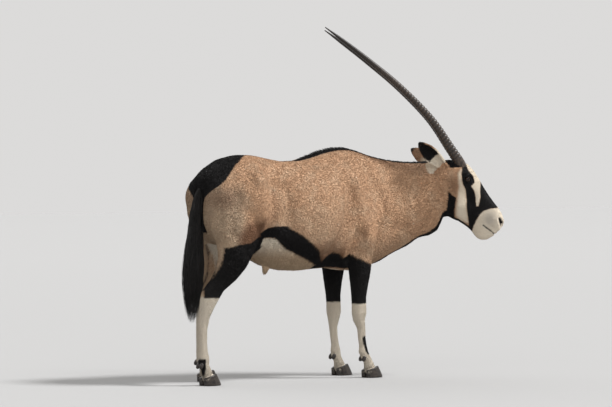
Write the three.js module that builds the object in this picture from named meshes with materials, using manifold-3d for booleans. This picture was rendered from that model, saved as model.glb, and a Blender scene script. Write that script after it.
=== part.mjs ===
// A gemsbok bull standing still, life size, in millimetres.
// +X is where the trunk points, +Y is the animal's left, +Z is up and the hooves stand on z = 0.
// The animal is drawn straight, in side view, and its neck is then turned to the right.
import * as THREE from "three";
import { mergeVertices } from "three/addons/utils/BufferGeometryUtils.js";
import Module from "manifold-3d";

const wasm = await Module();
wasm.setup();

// Driving sizes of the whole animal
const NECK_TURN = THREE.MathUtils.degToRad(35); // the head looks this far to the right of the trunk
const TURN_FROM = 420; // side-view x at which the neck starts to turn
const TURN_TO = 850; // side-view x from which the head points straight again
const GAP = 0.3; // left between neighbouring pieces
const CENTRE_X = 272; // the finished animal is moved back by this much, so its box is centred
const CENTRE_Y = -9;

const BODY_SIDES = 26;
const LEG_SIDES = 12;
const HORN_SIDES = 10;

// Materials, one for each kind of surface
const finish = (color, roughness) =>
  new THREE.MeshStandardMaterial({ color, roughness, metalness: 0 });
const TAN_COAT = finish(0xa98a6f, 0.85);
const BLACK_COAT = finish(0x14110f, 0.8);
const WHITE_COAT = finish(0xcfc4b4, 0.85);
const HORN = finish(0x2b241e, 0.55);
const HOOF = finish(0x1d1916, 0.5);
const EYE = finish(0x120b07, 0.1);

const smoothStep = (t) => t * t * (3 - 2 * t);

// Catmull-Rom through rows of numbers, with `steps` new rows for each gap between two rows.
function smoothRows(rows, steps) {
  const row = (i) => rows[Math.min(Math.max(i, 0), rows.length - 1)];
  const made = [];
  for (let i = 0; i < rows.length - 1; i++) {
    for (let k = 0; k < steps; k++) {
      const t = k / steps;
      made.push(
        row(i).map((b, n) => {
          const [a, c, d] = [row(i - 1)[n], row(i + 1)[n], row(i + 2)[n]];
          const bend = 2 * a - 5 * b + 4 * c - d + (3 * b - a - 3 * c + d) * t;
          return b + 0.5 * t * (c - a + t * bend);
        }),
      );
    }
  }
  made.push(row(rows.length - 1));
  return made;
}

// An oval ring round `centre`: `above` and `below` along `up`, `half` to either side.
// `fullness` is 2 for an ellipse and more for a squarer ring.
function ovalRing(centre, up, side, above, below, half, fullness, sides) {
  const power = 2 / fullness;
  const curved = (v) => Math.sign(v) * Math.abs(v) ** power;
  return Array.from({ length: sides }, (_, i) => {
    const angle = ((i + 0.5) / sides) * 2 * Math.PI;
    const rise = Math.sin(angle) > 0 ? above : below;
    return centre
      .clone()
      .addScaledVector(side, half * curved(Math.cos(angle)))
      .addScaledVector(up, rise * curved(Math.sin(angle)));
  });
}

// A closed skin over rings of equal length. The ends are closed by a zip of triangles across the ring.
function loft(rings) {
  const sides = rings[0].length;
  const last = (rings.length - 1) * sides;
  const faces = [];
  for (let r = 0; r + 1 < rings.length; r++) {
    for (let i = 0; i < sides; i++) {
      const a = r * sides + i;
      const b = r * sides + ((i + 1) % sides);
      faces.push(a, b, a + sides, b, b + sides, a + sides);
    }
  }
  for (let i = 0; i < sides / 2 - 1; i++) {
    const j = sides - 1 - i;
    faces.push(i, j, i + 1, i + 1, j, j - 1);
    faces.push(last + i, last + i + 1, last + j, last + i + 1, last + j - 1, last + j);
  }
  const geometry = new THREE.BufferGeometry().setFromPoints(rings.flat());
  geometry.setIndex(faces);
  return geometry;
}

// A three.js geometry as a manifold-3d solid facing out, placed by `matrix`.
function solidOf(geometry, matrix = new THREE.Matrix4()) {
  const bare = new THREE.BufferGeometry();
  bare.setAttribute("position", geometry.getAttribute("position").clone());
  if (geometry.index) bare.setIndex(geometry.index.clone());
  const merged = mergeVertices(bare.applyMatrix4(matrix), 1e-3);
  const triVerts = new Uint32Array(merged.index.array);
  const vertProperties = merged.attributes.position.array;
  const solid = new wasm.Manifold(new wasm.Mesh({ numProp: 3, vertProperties, triVerts }));
  if (solid.volume() > 0) return solid;
  for (let i = 0; i < triVerts.length; i += 3) {
    [triVerts[i + 1], triVerts[i + 2]] = [triVerts[i + 2], triVerts[i + 1]];
  }
  return new wasm.Manifold(new wasm.Mesh({ numProp: 3, vertProperties, triVerts }));
}

// A manifold-3d solid as a named three.js mesh.
function meshOf(name, solid, material) {
  const { numProp, numVert, vertProperties, triVerts } = solid.getMesh();
  const position = new Float32Array(numVert * 3);
  for (let i = 0; i < numVert; i++) {
    position.set(vertProperties.subarray(i * numProp, i * numProp + 3), i * 3);
  }
  const geometry = new THREE.BufferGeometry();
  geometry.setAttribute("position", new THREE.BufferAttribute(position, 3));
  geometry.setIndex(new THREE.BufferAttribute(triVerts, 1));
  geometry.computeVertexNormals();
  const mesh = new THREE.Mesh(geometry, material);
  mesh.name = name;
  return mesh;
}

// Where side-view x lies on the turned centre line, and which way the body points there.
function turnedAt(x) {
  const STEPS = 40;
  const heading = (at) => {
    const t = THREE.MathUtils.clamp((at - TURN_FROM) / (TURN_TO - TURN_FROM), 0, 1);
    return -NECK_TURN * smoothStep(t);
  };
  const from = Math.min(x, TURN_FROM);
  const place = new THREE.Vector3(from, 0, 0);
  const step = (x - from) / STEPS;
  for (let i = 0; i < STEPS; i++) {
    const middle = heading(from + (i + 0.5) * step);
    place.add(new THREE.Vector3(Math.cos(middle), Math.sin(middle), 0).multiplyScalar(step));
  }
  return { place, heading: heading(x) };
}

// The matrix that carries a side-view point of the ring at side-view x to its turned place.
function turnMatrix(x) {
  const { place, heading } = turnedAt(x);
  return new THREE.Matrix4()
    .makeTranslation(place.x, place.y, 0)
    .multiply(new THREE.Matrix4().makeRotationZ(heading))
    .multiply(new THREE.Matrix4().makeTranslation(-x, 0, 0));
}
const HEAD_MATRIX = turnMatrix(TURN_TO);

// Rings from the rump to the nose: x and z of the top, x and z of the underside, half width,
// height of the widest place as a share of the ring, and fullness.
const BODY_STATIONS = [
  [-528, 990, -524, 850, 50, 0.5, 2.0],
  [-518, 1026, -512, 795, 104, 0.5, 2.1],
  [-496, 1060, -486, 735, 146, 0.52, 2.2],
  [-455, 1094, -450, 700, 176, 0.54, 2.2],
  [-385, 1134, -380, 680, 198, 0.55, 2.2],
  [-300, 1152, -300, 655, 210, 0.56, 2.2],
  [-215, 1150, -215, 622, 218, 0.52, 2.2],
  [-130, 1134, -130, 582, 234, 0.46, 2.25],
  [-40, 1119, -40, 559, 248, 0.44, 2.25],
  [60, 1122, 60, 555, 250, 0.45, 2.25],
  [145, 1146, 150, 562, 236, 0.46, 2.2],
  [225, 1172, 240, 566, 208, 0.47, 2.15],
  [300, 1187, 330, 552, 182, 0.47, 2.1],
  [370, 1190, 420, 548, 166, 0.46, 2.1],
  [440, 1174, 500, 566, 150, 0.46, 2.1],
  [520, 1150, 575, 606, 132, 0.46, 2.1],
  [600, 1131, 652, 655, 113, 0.47, 2.1],
  [680, 1119, 725, 690, 96, 0.48, 2.1],
  [755, 1113, 790, 722, 84, 0.5, 2.1],
  [820, 1114, 850, 741, 76, 0.52, 2.1],
  [872, 1118, 893, 772, 73, 0.54, 2.1],
  [912, 1120, 928, 822, 74, 0.56, 2.15],
  [960, 1124, 955, 826, 79, 0.6, 2.2],
  [1012, 1118, 985, 810, 84, 0.66, 2.3],
  [1058, 1100, 1008, 801, 80, 0.7, 2.4],
  [1090, 1064, 1030, 787, 71, 0.7, 2.4],
  [1117, 1020, 1050, 773, 61, 0.66, 2.4],
  [1142, 978, 1066, 760, 54, 0.6, 2.4],
  [1168, 938, 1078, 747, 50, 0.55, 2.4],
  [1195, 901, 1090, 730, 49, 0.52, 2.4],
  [1218, 872, 1106, 713, 50, 0.5, 2.4],
  [1236, 842, 1128, 703, 48, 0.5, 2.3],
  [1246, 808, 1158, 705, 43, 0.5, 2.2],
  [1244, 780, 1188, 724, 30, 0.5, 2.1],
];

function bodyRing([topX, topZ, lowX, lowZ, half, widest, fullness]) {
  const top = new THREE.Vector3(topX, 0, topZ);
  const low = new THREE.Vector3(lowX, 0, lowZ);
  const centre = low.clone().lerp(top, widest);
  const height = top.distanceTo(low);
  const up = top.clone().sub(low).normalize();
  const side = new THREE.Vector3(0, 1, 0);
  const above = height * (1 - widest);
  const ring = ovalRing(centre, up, side, above, height * widest, half, fullness, BODY_SIDES);
  const middle = Math.min((topX + lowX) / 2, TURN_TO);
  const matrix = turnMatrix(middle);
  return ring.map((p) => p.applyMatrix4(matrix));
}

// A leg as a stack of level rings: x, y, z, half depth along X, half width along Y, fullness.
function legLoft(stations, steps) {
  const ahead = new THREE.Vector3(1, 0, 0);
  const across = new THREE.Vector3(0, 1, 0);
  const ring = ([x, y, z, deep, wide, fullness]) =>
    ovalRing(new THREE.Vector3(x, y, z), across, ahead, wide, wide, deep, fullness, LEG_SIDES);
  return loft(smoothRows(stations, steps).map(ring));
}

// Foreleg rings above the knee hang from the shoulder; `knee` and `foot` give where the lower leg stands.
function foreleg(side, kneeX, cannonX, footX) {
  const y = (out) => side * out;
  return legLoft(
    [
      [300, y(70), 1060, 58, 24, 2.2],
      [330, y(104), 980, 84, 44, 2.2],
      [368, y(122), 890, 104, 58, 2.1],
      [398, y(128), 800, 108, 62, 2.1],
      [398, y(130), 715, 98, 60, 2.1],
      [384, y(127), 640, 88, 54, 2.1],
      [kneeX + 2, y(122), 560, 66, 47, 2.1],
      [kneeX - 1, y(121), 490, 53, 42, 2.1],
      [kneeX - 2, y(118), 420, 43, 35, 2.1],
      [kneeX, y(117), 372, 41, 34, 2.2],
      [kneeX + 1, y(117), 335, 41, 35, 2.3],
      [kneeX, y(116), 298, 34, 29, 2.2],
      [cannonX - 4, y(115), 255, 25, 21, 2.1],
      [cannonX, y(114), 205, 23, 19, 2.1],
      [cannonX + 6, y(114), 165, 24, 20, 2.1],
      [cannonX + 10, y(114), 132, 29, 25, 2.1],
      [footX - 14, y(114), 102, 26, 25, 2.1],
      [footX, y(114), 74, 27, 28, 2.1],
      [footX + 8, y(114), 46, 28, 30, 2.2],
      [footX + 12, y(114), 24, 24, 26, 2.2],
    ],
    1,
  );
}

// Hind leg rings: the thigh leans forward to the stifle, the shin leans back to the hock.
function hindleg(side, hockX, footX, lean) {
  const y = (out) => side * out;
  return legLoft(
    [
      [-370, y(74), 1085, 80, 40, 2.2],
      [-390, y(82), 1010, 122, 84, 2.1],
      [-398, y(90), 930, 132, 102, 2.1],
      [-392 + lean * 0.1, y(98), 850, 138, 104, 2.1],
      [-378 + lean * 0.25, y(110), 775, 140, 98, 2.1],
      [-368 + lean * 0.4, y(120), 705, 124, 84, 2.1],
      [-384 + lean * 0.55, y(127), 640, 106, 66, 2.1],
      [-418 + lean * 0.7, y(128), 580, 88, 52, 2.1],
      [-460 + lean * 0.85, y(126), 525, 76, 41, 2.1],
      [hockX + 34, y(124), 470, 64, 35, 2.2],
      [hockX + 14, y(122), 425, 52, 34, 2.3],
      [hockX, y(121), 385, 41, 31, 2.2],
      [hockX - 14, y(120), 340, 32, 25, 2.1],
      [hockX - 22, y(119), 285, 27, 21, 2.1],
      [hockX - 22, y(119), 215, 26, 20, 2.1],
      [hockX - 20, y(119), 170, 27, 21, 2.1],
      [hockX - 16, y(119), 138, 31, 26, 2.1],
      [footX - 14, y(119), 104, 27, 25, 2.1],
      [footX, y(119), 74, 27, 28, 2.1],
      [footX + 8, y(119), 46, 28, 30, 2.2],
      [footX + 12, y(119), 24, 24, 26, 2.2],
    ],
    1,
  );
}

// One claw of a cloven hoof, standing at the origin with its toe along +X. `inner` is +1 or -1, the side
// of the cleft. `grow` thickens it, for cutting its seat.
const HOOF_HEIGHT = 62;
function clawGeometry(inner, grow) {
  const LEVELS = [
    [0, 0, 1.0],
    [0.12, 0, 1.0],
    [0.55, -6, 0.88],
    [1, -13, 0.74],
  ];
  const rings = LEVELS.map(([share, back, size]) =>
    Array.from({ length: 12 }, (_, i) => {
      const angle = ((i + 0.5) / 12) * 2 * Math.PI;
      const [c, s] = [Math.cos(angle), Math.sin(angle)];
      const toe = c > 0 ? 60 : 42;
      const inward = s * inner > 0;
      const width = (inward ? 17 : 23) * (c > 0 ? 1 - 0.35 * c * c : 1);
      const slope = share * 16 * (1 - c) * 0.8;
      return new THREE.Vector3(
        back + (toe * size + grow) * c,
        (width * size + grow) * s,
        share * HOOF_HEIGHT - slope + (share === 1 ? grow : share === 0 ? -grow : 0),
      );
    }),
  );
  return loft(rings);
}

// A dewclaw is a small blunt cone behind the fetlock.
function dewclawGeometry(grow) {
  const profile = [
    new THREE.Vector2(0, -19 - grow),
    new THREE.Vector2(8 + grow, -16 - grow),
    new THREE.Vector2(12 + grow, -4),
    new THREE.Vector2(10 + grow, 10),
    new THREE.Vector2(0, 18 + grow),
  ];
  return new THREE.LatheGeometry(profile, 8);
}

// A horn: x, half spread and z along its length, in side view, then its radius at each of them.
const HORN_LINE = [
  [1026, 33, 1068],
  [1014, 39, 1106],
  [962, 54, 1186],
  [857, 84, 1338],
  [698, 120, 1501],
  [539, 154, 1634],
  [401, 184, 1740],
  [312, 203, 1805],
];
const HORN_RADII = [27, 26.5, 24, 20, 16.5, 13, 9, 2.5];
function hornGeometry(side, grow) {
  const rows = smoothRows(
    HORN_LINE.map(([x, spread, z], i) => [x, side * spread, z, HORN_RADII[i]]),
    2,
  );
  const line = rows.map(([x, y, z]) => new THREE.Vector3(x, y, z));
  const rings = rows.map(([, , , radius], i) => {
    const ahead = line[Math.min(i + 1, line.length - 1)];
    const along = ahead.clone().sub(line[Math.max(i - 1, 0)]).normalize();
    const across = new THREE.Vector3(0, 1, 0).cross(along).normalize();
    const out = along.clone().cross(across);
    const r = radius + grow;
    const centre = i === 0 ? line[0].clone().addScaledVector(along, -grow) : line[i];
    return ovalRing(centre, across, out, r, r, r, 2, HORN_SIDES);
  });
  return loft(rings);
}

// A cupped ear: half widths along its length, opening outward and a little back.
const EAR_BASE = [940, 62, 1078];
const EAR_TIPS = { right: [798, 112, 1212], left: [765, 104, 1180] }; // the left ear is held further back
const EAR_ROWS = [
  [0, 17, 1.9, 13],
  [0.16, 21, 1.75, 11],
  [0.34, 33, 1.35, 9.5],
  [0.55, 41, 1.1, 9],
  [0.74, 36, 0.95, 8.5],
  [0.9, 21, 0.8, 8],
  [1, 6, 0.6, 6],
];
function earGeometry(word, side, grow) {
  const base = new THREE.Vector3(EAR_BASE[0], side * EAR_BASE[1], EAR_BASE[2]);
  const [tipX, tipY, tipZ] = EAR_TIPS[word];
  const tip = new THREE.Vector3(tipX, side * tipY, tipZ);
  const along = tip.clone().sub(base).normalize();
  const opening = new THREE.Vector3(-0.25, side * 0.93, -0.25).projectOnPlane(along).normalize();
  const across = along.clone().cross(opening);
  const ARC = 8;
  const rings = smoothRows(EAR_ROWS, 1).map(([share, half, wrap, thick]) => {
    const centre = base.clone().lerp(tip, share);
    if (share === 0) centre.addScaledVector(along, -grow);
    const radius = half / Math.sin(Math.min(wrap, Math.PI / 2));
    const reach = wrap + (2 * grow) / radius;
    const arc = (r) =>
      Array.from({ length: ARC }, (_, i) => {
        const angle = reach * ((2 * i) / (ARC - 1) - 1);
        return centre
          .clone()
          .addScaledVector(across, r * Math.sin(angle))
          .addScaledVector(opening, radius * Math.cos(wrap) - r * Math.cos(angle) + half * 0.3);
      });
    return [...arc(radius + thick / 2 + grow), ...arc(radius - thick / 2 - grow).reverse()];
  });
  return loft(rings);
}

// The tail: a round dock down from the rump, then the tassel of long hair.
function hangingLoft(stations, sides) {
  const ring = ([x, y, z, deep, wide]) =>
    ovalRing(
      new THREE.Vector3(x, y, z),
      new THREE.Vector3(0, 1, 0),
      new THREE.Vector3(1, 0, 0),
      wide,
      wide,
      deep,
      2,
      sides,
    );
  return loft(smoothRows(stations, 2).map(ring));
}
const DOCK_STATIONS = [
  [-470, 0, 1040, 34, 30],
  [-516, 0, 1000, 30, 28],
  [-542, 0, 940, 23, 24],
  [-549, 0, 860, 21, 23],
  [-550, 0, 756, 23, 25],
];
const TASSEL_STATIONS = [
  [-550, 0, 755.5, 23, 25],
  [-550, 0, 714, 36, 36],
  [-549, 0, 663, 49, 48],
  [-550, -2, 600, 56, 54],
  [-553, -4, 535, 57, 54],
  [-566, -5, 470, 44, 44],
  [-570, -6, 408, 28, 30],
  [-578, -6, 350, 20, 20],
  [-580, -6, 306, 6, 7],
];

// Eyeballs, deep in the sides of the head
const EYE_RADIUS = 17;
const EYE_PLACE = [1052, 66, 1021];

// The whole flesh, in one solid
const bodyRings = smoothRows(BODY_STATIONS, 1).map(bodyRing);
let flesh = solidOf(loft(bodyRings));
const RIGHT = -1;
const LEFT = 1;
const LEGS = [
  { name: "foreleg_right", side: RIGHT, footX: 446, geometry: foreleg(RIGHT, 382, 402, 446) },
  { name: "foreleg_left", side: LEFT, footX: 418, geometry: foreleg(LEFT, 388, 388, 418) },
  { name: "hindleg_right", side: RIGHT, footX: -556, geometry: hindleg(RIGHT, -556, -556, 0) },
  { name: "hindleg_left", side: LEFT, footX: -414, geometry: hindleg(LEFT, -414, -414, 142) },
];
for (const leg of LEGS) flesh = flesh.add(solidOf(leg.geometry));
flesh = flesh.add(solidOf(hangingLoft(DOCK_STATIONS, 12)));

// A belly tuft where the sheath is
const SHEATH = [
  [-112, 0, 600, 36, 22],
  [-118, 0, 570, 26, 17],
  [-126, 0, 541, 12, 10],
];
flesh = flesh.add(solidOf(hangingLoft(SHEATH, 10)));

const animal = new THREE.Group();
animal.position.set(-CENTRE_X, -CENTRE_Y, 0);
const head = new THREE.Group();
head.applyMatrix4(HEAD_MATRIX);
animal.add(head);

// A piece that sits in the flesh: its mesh joins `group`, and its seat is cut out of the flesh.
function seat(name, geometryFor, material, group, matrix) {
  const mesh = meshOf(name, solidOf(geometryFor(0)), material);
  mesh.applyMatrix4(matrix);
  group.add(mesh);
  const place = group === head ? HEAD_MATRIX.clone().multiply(matrix) : matrix;
  flesh = flesh.subtract(solidOf(geometryFor(GAP), place));
}

const STILL = new THREE.Matrix4();
for (const [word, side] of [
  ["right", RIGHT],
  ["left", LEFT],
]) {
  const eyePlace = new THREE.Matrix4().makeTranslation(
    EYE_PLACE[0],
    side * EYE_PLACE[1],
    EYE_PLACE[2],
  );
  const eyeball = (grow) => new THREE.SphereGeometry(EYE_RADIUS + grow, 12, 8);
  seat(`eye_${word}`, eyeball, EYE, head, eyePlace);
  seat(`horn_${word}`, (grow) => hornGeometry(side, grow), HORN, head, STILL);
  seat(`ear_${word}`, (grow) => earGeometry(word, side, grow), TAN_COAT, head, STILL);
}

// Hooves: two claws and two dewclaws for each leg
for (const leg of LEGS) {
  const footY = leg.name.startsWith("fore") ? 114 : 119;
  for (const [word, inner] of [
    ["outer", -leg.side],
    ["inner", leg.side],
  ]) {
    const y = leg.side * footY - inner * 21;
    const claw = new THREE.Matrix4().makeTranslation(leg.footX + 14, y, 0);
    seat(`hoof_${leg.name}_${word}`, (grow) => clawGeometry(inner, grow), HOOF, animal, claw);
    const dewclaw = new THREE.Matrix4()
      .makeTranslation(leg.footX - 39, leg.side * footY - inner * 14, 101)
      .multiply(new THREE.Matrix4().makeRotationY(0.45))
      .multiply(new THREE.Matrix4().makeRotationX(Math.PI / 2));
    seat(`dewclaw_${leg.name}_${word}`, dewclawGeometry, HOOF, animal, dewclaw);
  }
}

// Takes the flesh inside a box out as a piece of its own, and leaves a thin cut round it.
function partOut(name, material, size, place) {
  const box = (grow) =>
    solidOf(new THREE.BoxGeometry(size[0] + grow, size[1] + grow, size[2] + grow), place);
  animal.add(meshOf(name, flesh.intersect(box(0)), material));
  flesh = flesh.subtract(box(2 * GAP));
}

// A box that reaches from low to high corner
const between = (low, high) => [
  high.map((v, i) => v - low[i]),
  new THREE.Matrix4().makeTranslation(...high.map((v, i) => (v + low[i]) / 2)),
];

// A big box beyond a slanting cut across the neck at side-view x and z
const BIG = 1600;
function beyond(x, z, lean) {
  return turnMatrix(Math.min(x, TURN_TO))
    .multiply(new THREE.Matrix4().makeTranslation(x, 0, z))
    .multiply(new THREE.Matrix4().makeRotationY(lean))
    .multiply(new THREE.Matrix4().makeTranslation(BIG / 2, 0, 0));
}

partOut("head", WHITE_COAT, [BIG, BIG, BIG], beyond(900, 960, 0.1));
partOut("neck", TAN_COAT, [BIG, BIG, BIG], beyond(495, 880, -0.22));

const KNEE_Z = 372;
const ELBOW_Z = 546;
const HOCK_Z = 478;
const STIFLE_Z = 690;
for (const { name, side } of LEGS) {
  const fore = name.startsWith("fore");
  const [rear, front] = fore ? [250, 620] : [-760, -250];
  const [inside, outside] = side > 0 ? [14, 400] : [-400, -14];
  const joint = fore ? KNEE_Z : HOCK_Z;
  const top = fore ? ELBOW_Z : STIFLE_Z;
  const lower = between([rear, inside, 0], [front, outside, joint]);
  const upper = between([rear, inside, joint + GAP], [front, outside, top]);
  partOut(`${name}_lower`, WHITE_COAT, ...lower);
  partOut(`${name}_upper`, BLACK_COAT, ...upper);
}

const DOCK_LOW = 700;
const DOCK_FROM = -531;
const dockBox = between([-700, -42, DOCK_LOW], [DOCK_FROM, 42, 1010]);
partOut("tail_dock", BLACK_COAT, ...dockBox);
animal.add(meshOf("tail_tassel", solidOf(hangingLoft(TASSEL_STATIONS, 12)), BLACK_COAT));

animal.add(meshOf("trunk", flesh, TAN_COAT));

export default animal;
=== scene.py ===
"""A gemsbok bull, life size, standing still: one skin, a short coat, long hair, horns, hooves and eyes."""
import logging
import math
from dataclasses import dataclass
from enum import Enum

import bmesh
import bpy
import numpy as np
import openvdb
from bpy.types import Material, Mesh, Node, NodeSocket, NodeTree, Object
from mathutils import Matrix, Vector


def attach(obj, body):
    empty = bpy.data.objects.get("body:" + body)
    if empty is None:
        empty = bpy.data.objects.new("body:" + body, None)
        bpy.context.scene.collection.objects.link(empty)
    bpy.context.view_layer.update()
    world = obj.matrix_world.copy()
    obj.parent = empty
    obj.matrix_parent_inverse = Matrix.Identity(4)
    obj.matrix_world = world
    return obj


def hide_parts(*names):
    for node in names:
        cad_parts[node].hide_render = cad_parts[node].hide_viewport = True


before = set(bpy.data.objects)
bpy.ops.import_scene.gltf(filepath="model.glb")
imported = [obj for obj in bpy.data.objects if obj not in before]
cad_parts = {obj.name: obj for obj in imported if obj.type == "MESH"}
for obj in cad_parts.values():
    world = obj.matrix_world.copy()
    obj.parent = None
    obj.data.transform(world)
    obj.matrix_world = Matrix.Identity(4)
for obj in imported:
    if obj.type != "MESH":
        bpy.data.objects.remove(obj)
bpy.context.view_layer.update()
LOG = logging.getLogger("gemsbok")
BODY = "root"
FAR = 0.05  # where the markings' distances are cut off, in metres
Array = np.ndarray
Pair = tuple[float, float]
Place = tuple[float, float, float]
Colour = tuple[float, float, float, float]
Outline = tuple[Pair, ...]


class Side(Enum):
    """The animal's two sides, each with the sign of its y."""

    RIGHT = -1.0
    LEFT = 1.0

    @property
    def word(self) -> str:
        """The side as pieces' names have it."""
        return self.name.lower()


# Numbers and lines


def ramp(low: float, high: float, value: Array) -> Array:
    """A soft rise.

    Args:
        low: where the rise starts.
        high: where it is complete; below `low` turns it round.
        value: the numbers to put through it.

    Returns:
        0 before `low`, 1 after `high`, and smoothly between them.
    """
    t = np.clip((value - low) / (high - low), 0.0, 1.0)
    return t * t * (3.0 - 2.0 * t)


def rounded(points: tuple | list, rounds: int = 2) -> Array:
    """Rounds an open line's corners off by cutting them.

    Args:
        points: the line's corners.
        rounds: how often the corners are cut.

    Returns:
        The rounded line's points.
    """
    line = np.array(points, float)
    for _ in range(rounds):
        here, ahead = line[:-1], line[1:]
        cut = np.stack([0.75 * here + 0.25 * ahead, 0.25 * here + 0.75 * ahead], 1)
        line = np.vstack([line[:1], cut.reshape(-1, line.shape[1]), line[-1:]])
    return line


def line_distance(points: Array, line: Array) -> Array:
    """How far each point is from a line of straight stretches.

    Args:
        points: (n, d) places.
        line: (m, d) corners of the line.

    Returns:
        (n,) distances.
    """
    best = np.full(len(points), np.inf)
    for a, b in zip(line[:-1], line[1:]):
        run = b - a
        share = np.clip(((points - a) @ run) / max(float(run @ run), 1e-12), 0.0, 1.0)
        gap = points - a - share[:, None] * run
        best = np.minimum(best, np.einsum("ij,ij->i", gap, gap))
    return np.sqrt(best)


def inside_by(points: Array, outline: Array) -> Array:
    """How far each point lies inside a closed outline.

    Args:
        points: (n, 2) places.
        outline: (m, 2) corners.

    Returns:
        (n,) distances to the outline, negative outside it.
    """
    ring = np.vstack([outline, outline[:1]])
    odd = np.zeros(len(points), bool)
    for (ax, ay), (bx, by) in zip(ring[:-1], ring[1:]):
        spans = (ay > points[:, 1]) != (by > points[:, 1])
        if ay != by:
            cross = (bx - ax) * (points[:, 1] - ay) / (by - ay) + ax
            odd ^= spans & (points[:, 0] < cross)
    return np.where(odd, 1.0, -1.0) * line_distance(points, ring)


def between(line: Outline, value: Array) -> Array:
    """A line's second number read at `value` of its first, held level past its ends."""
    points = np.array(sorted(line))
    return np.interp(value, points[:, 0], points[:, 1])


def ridge(away: Array, width: float) -> Array:
    """A soft ridge: 1 where `away` is 0, falling to nothing over a few widths."""
    return np.exp(-((away / width) ** 2))


def bump(points: Array, centre: Place, reach: Place) -> Array:
    """A soft round mask.

    Args:
        points: (n, 3) places.
        centre: the mask's middle.
        reach: how far it spreads along each axis.

    Returns:
        (n,) values, 1 in the middle and 0 far away.
    """
    away = (points - np.array(centre)) / np.array(reach)
    return np.exp(-np.einsum("ij,ij->i", away, away))


def outwards(straight: Array) -> Array:
    """Straight places with y counted outwards on both sides."""
    return np.stack([straight[:, 0], np.abs(straight[:, 1]), straight[:, 2]], 1)


# Meshes and objects


def read(items: object, field: str, width: int = 1, kind: type = np.float32) -> Array:
    """Reads one field of a mesh's points, edges, faces or corners.

    Args:
        items: the mesh's collection.
        field: the field's name.
        width: how many numbers each item has.
        kind: the numbers' type.

    Returns:
        (n,) numbers, or (n, width) of them.
    """
    values = np.empty(len(items) * width, kind)
    items.foreach_get(field, values)
    return values if width == 1 else values.reshape(-1, width)


def store(mesh: Mesh, name: str, values: Array, domain: str = "POINT") -> None:
    """Writes numbers on a mesh as an attribute.

    Args:
        mesh: the mesh.
        name: the attribute's name.
        values: (n,), (n, 2) or (n, 3) numbers.
        domain: what they belong to.
    """
    width = 1 if values.ndim == 1 else values.shape[1]
    kind = {1: "FLOAT", 2: "FLOAT2", 3: "FLOAT_VECTOR"}[width]
    data = mesh.attributes.new(name, kind, domain).data
    data.foreach_set("value" if width == 1 else "vector", values.reshape(-1).astype(np.float32))


def placed(name: str, data: bpy.types.ID) -> Object:
    """Puts data in the scene as an object at the origin.

    Args:
        name: the object's name.
        data: its mesh, camera or light.

    Returns:
        The object.
    """
    made = bpy.data.objects.new(name, data)
    bpy.context.scene.collection.objects.link(made)
    return made


def finished(mesh: Mesh, finish: Material, turn: bool = False) -> Object:
    """Gives a mesh its finish and smooth shading, and puts it in the scene.

    Args:
        mesh: the mesh, which gives the object its name.
        finish: its material.
        turn: whether its faces are first turned outwards.

    Returns:
        The object.
    """
    if turn:
        bm = bmesh.new()
        bm.from_mesh(mesh)
        bmesh.ops.recalc_face_normals(bm, faces=bm.faces[:])
        bm.to_mesh(mesh)
        bm.free()
    mesh.materials.append(finish)
    mesh.shade_smooth()
    return placed(mesh.name, mesh)


def mesh_of(name: str, points: Array, faces: Array | list) -> Mesh:
    """Makes a mesh of points and faces.

    Args:
        name: its name.
        points: (n, 3) places.
        faces: the points of each face.

    Returns:
        The mesh.
    """
    mesh = bpy.data.meshes.new(name)
    mesh.from_pydata(points.tolist(), [], faces if isinstance(faces, list) else faces.tolist())
    return mesh


# How the animal stands


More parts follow.
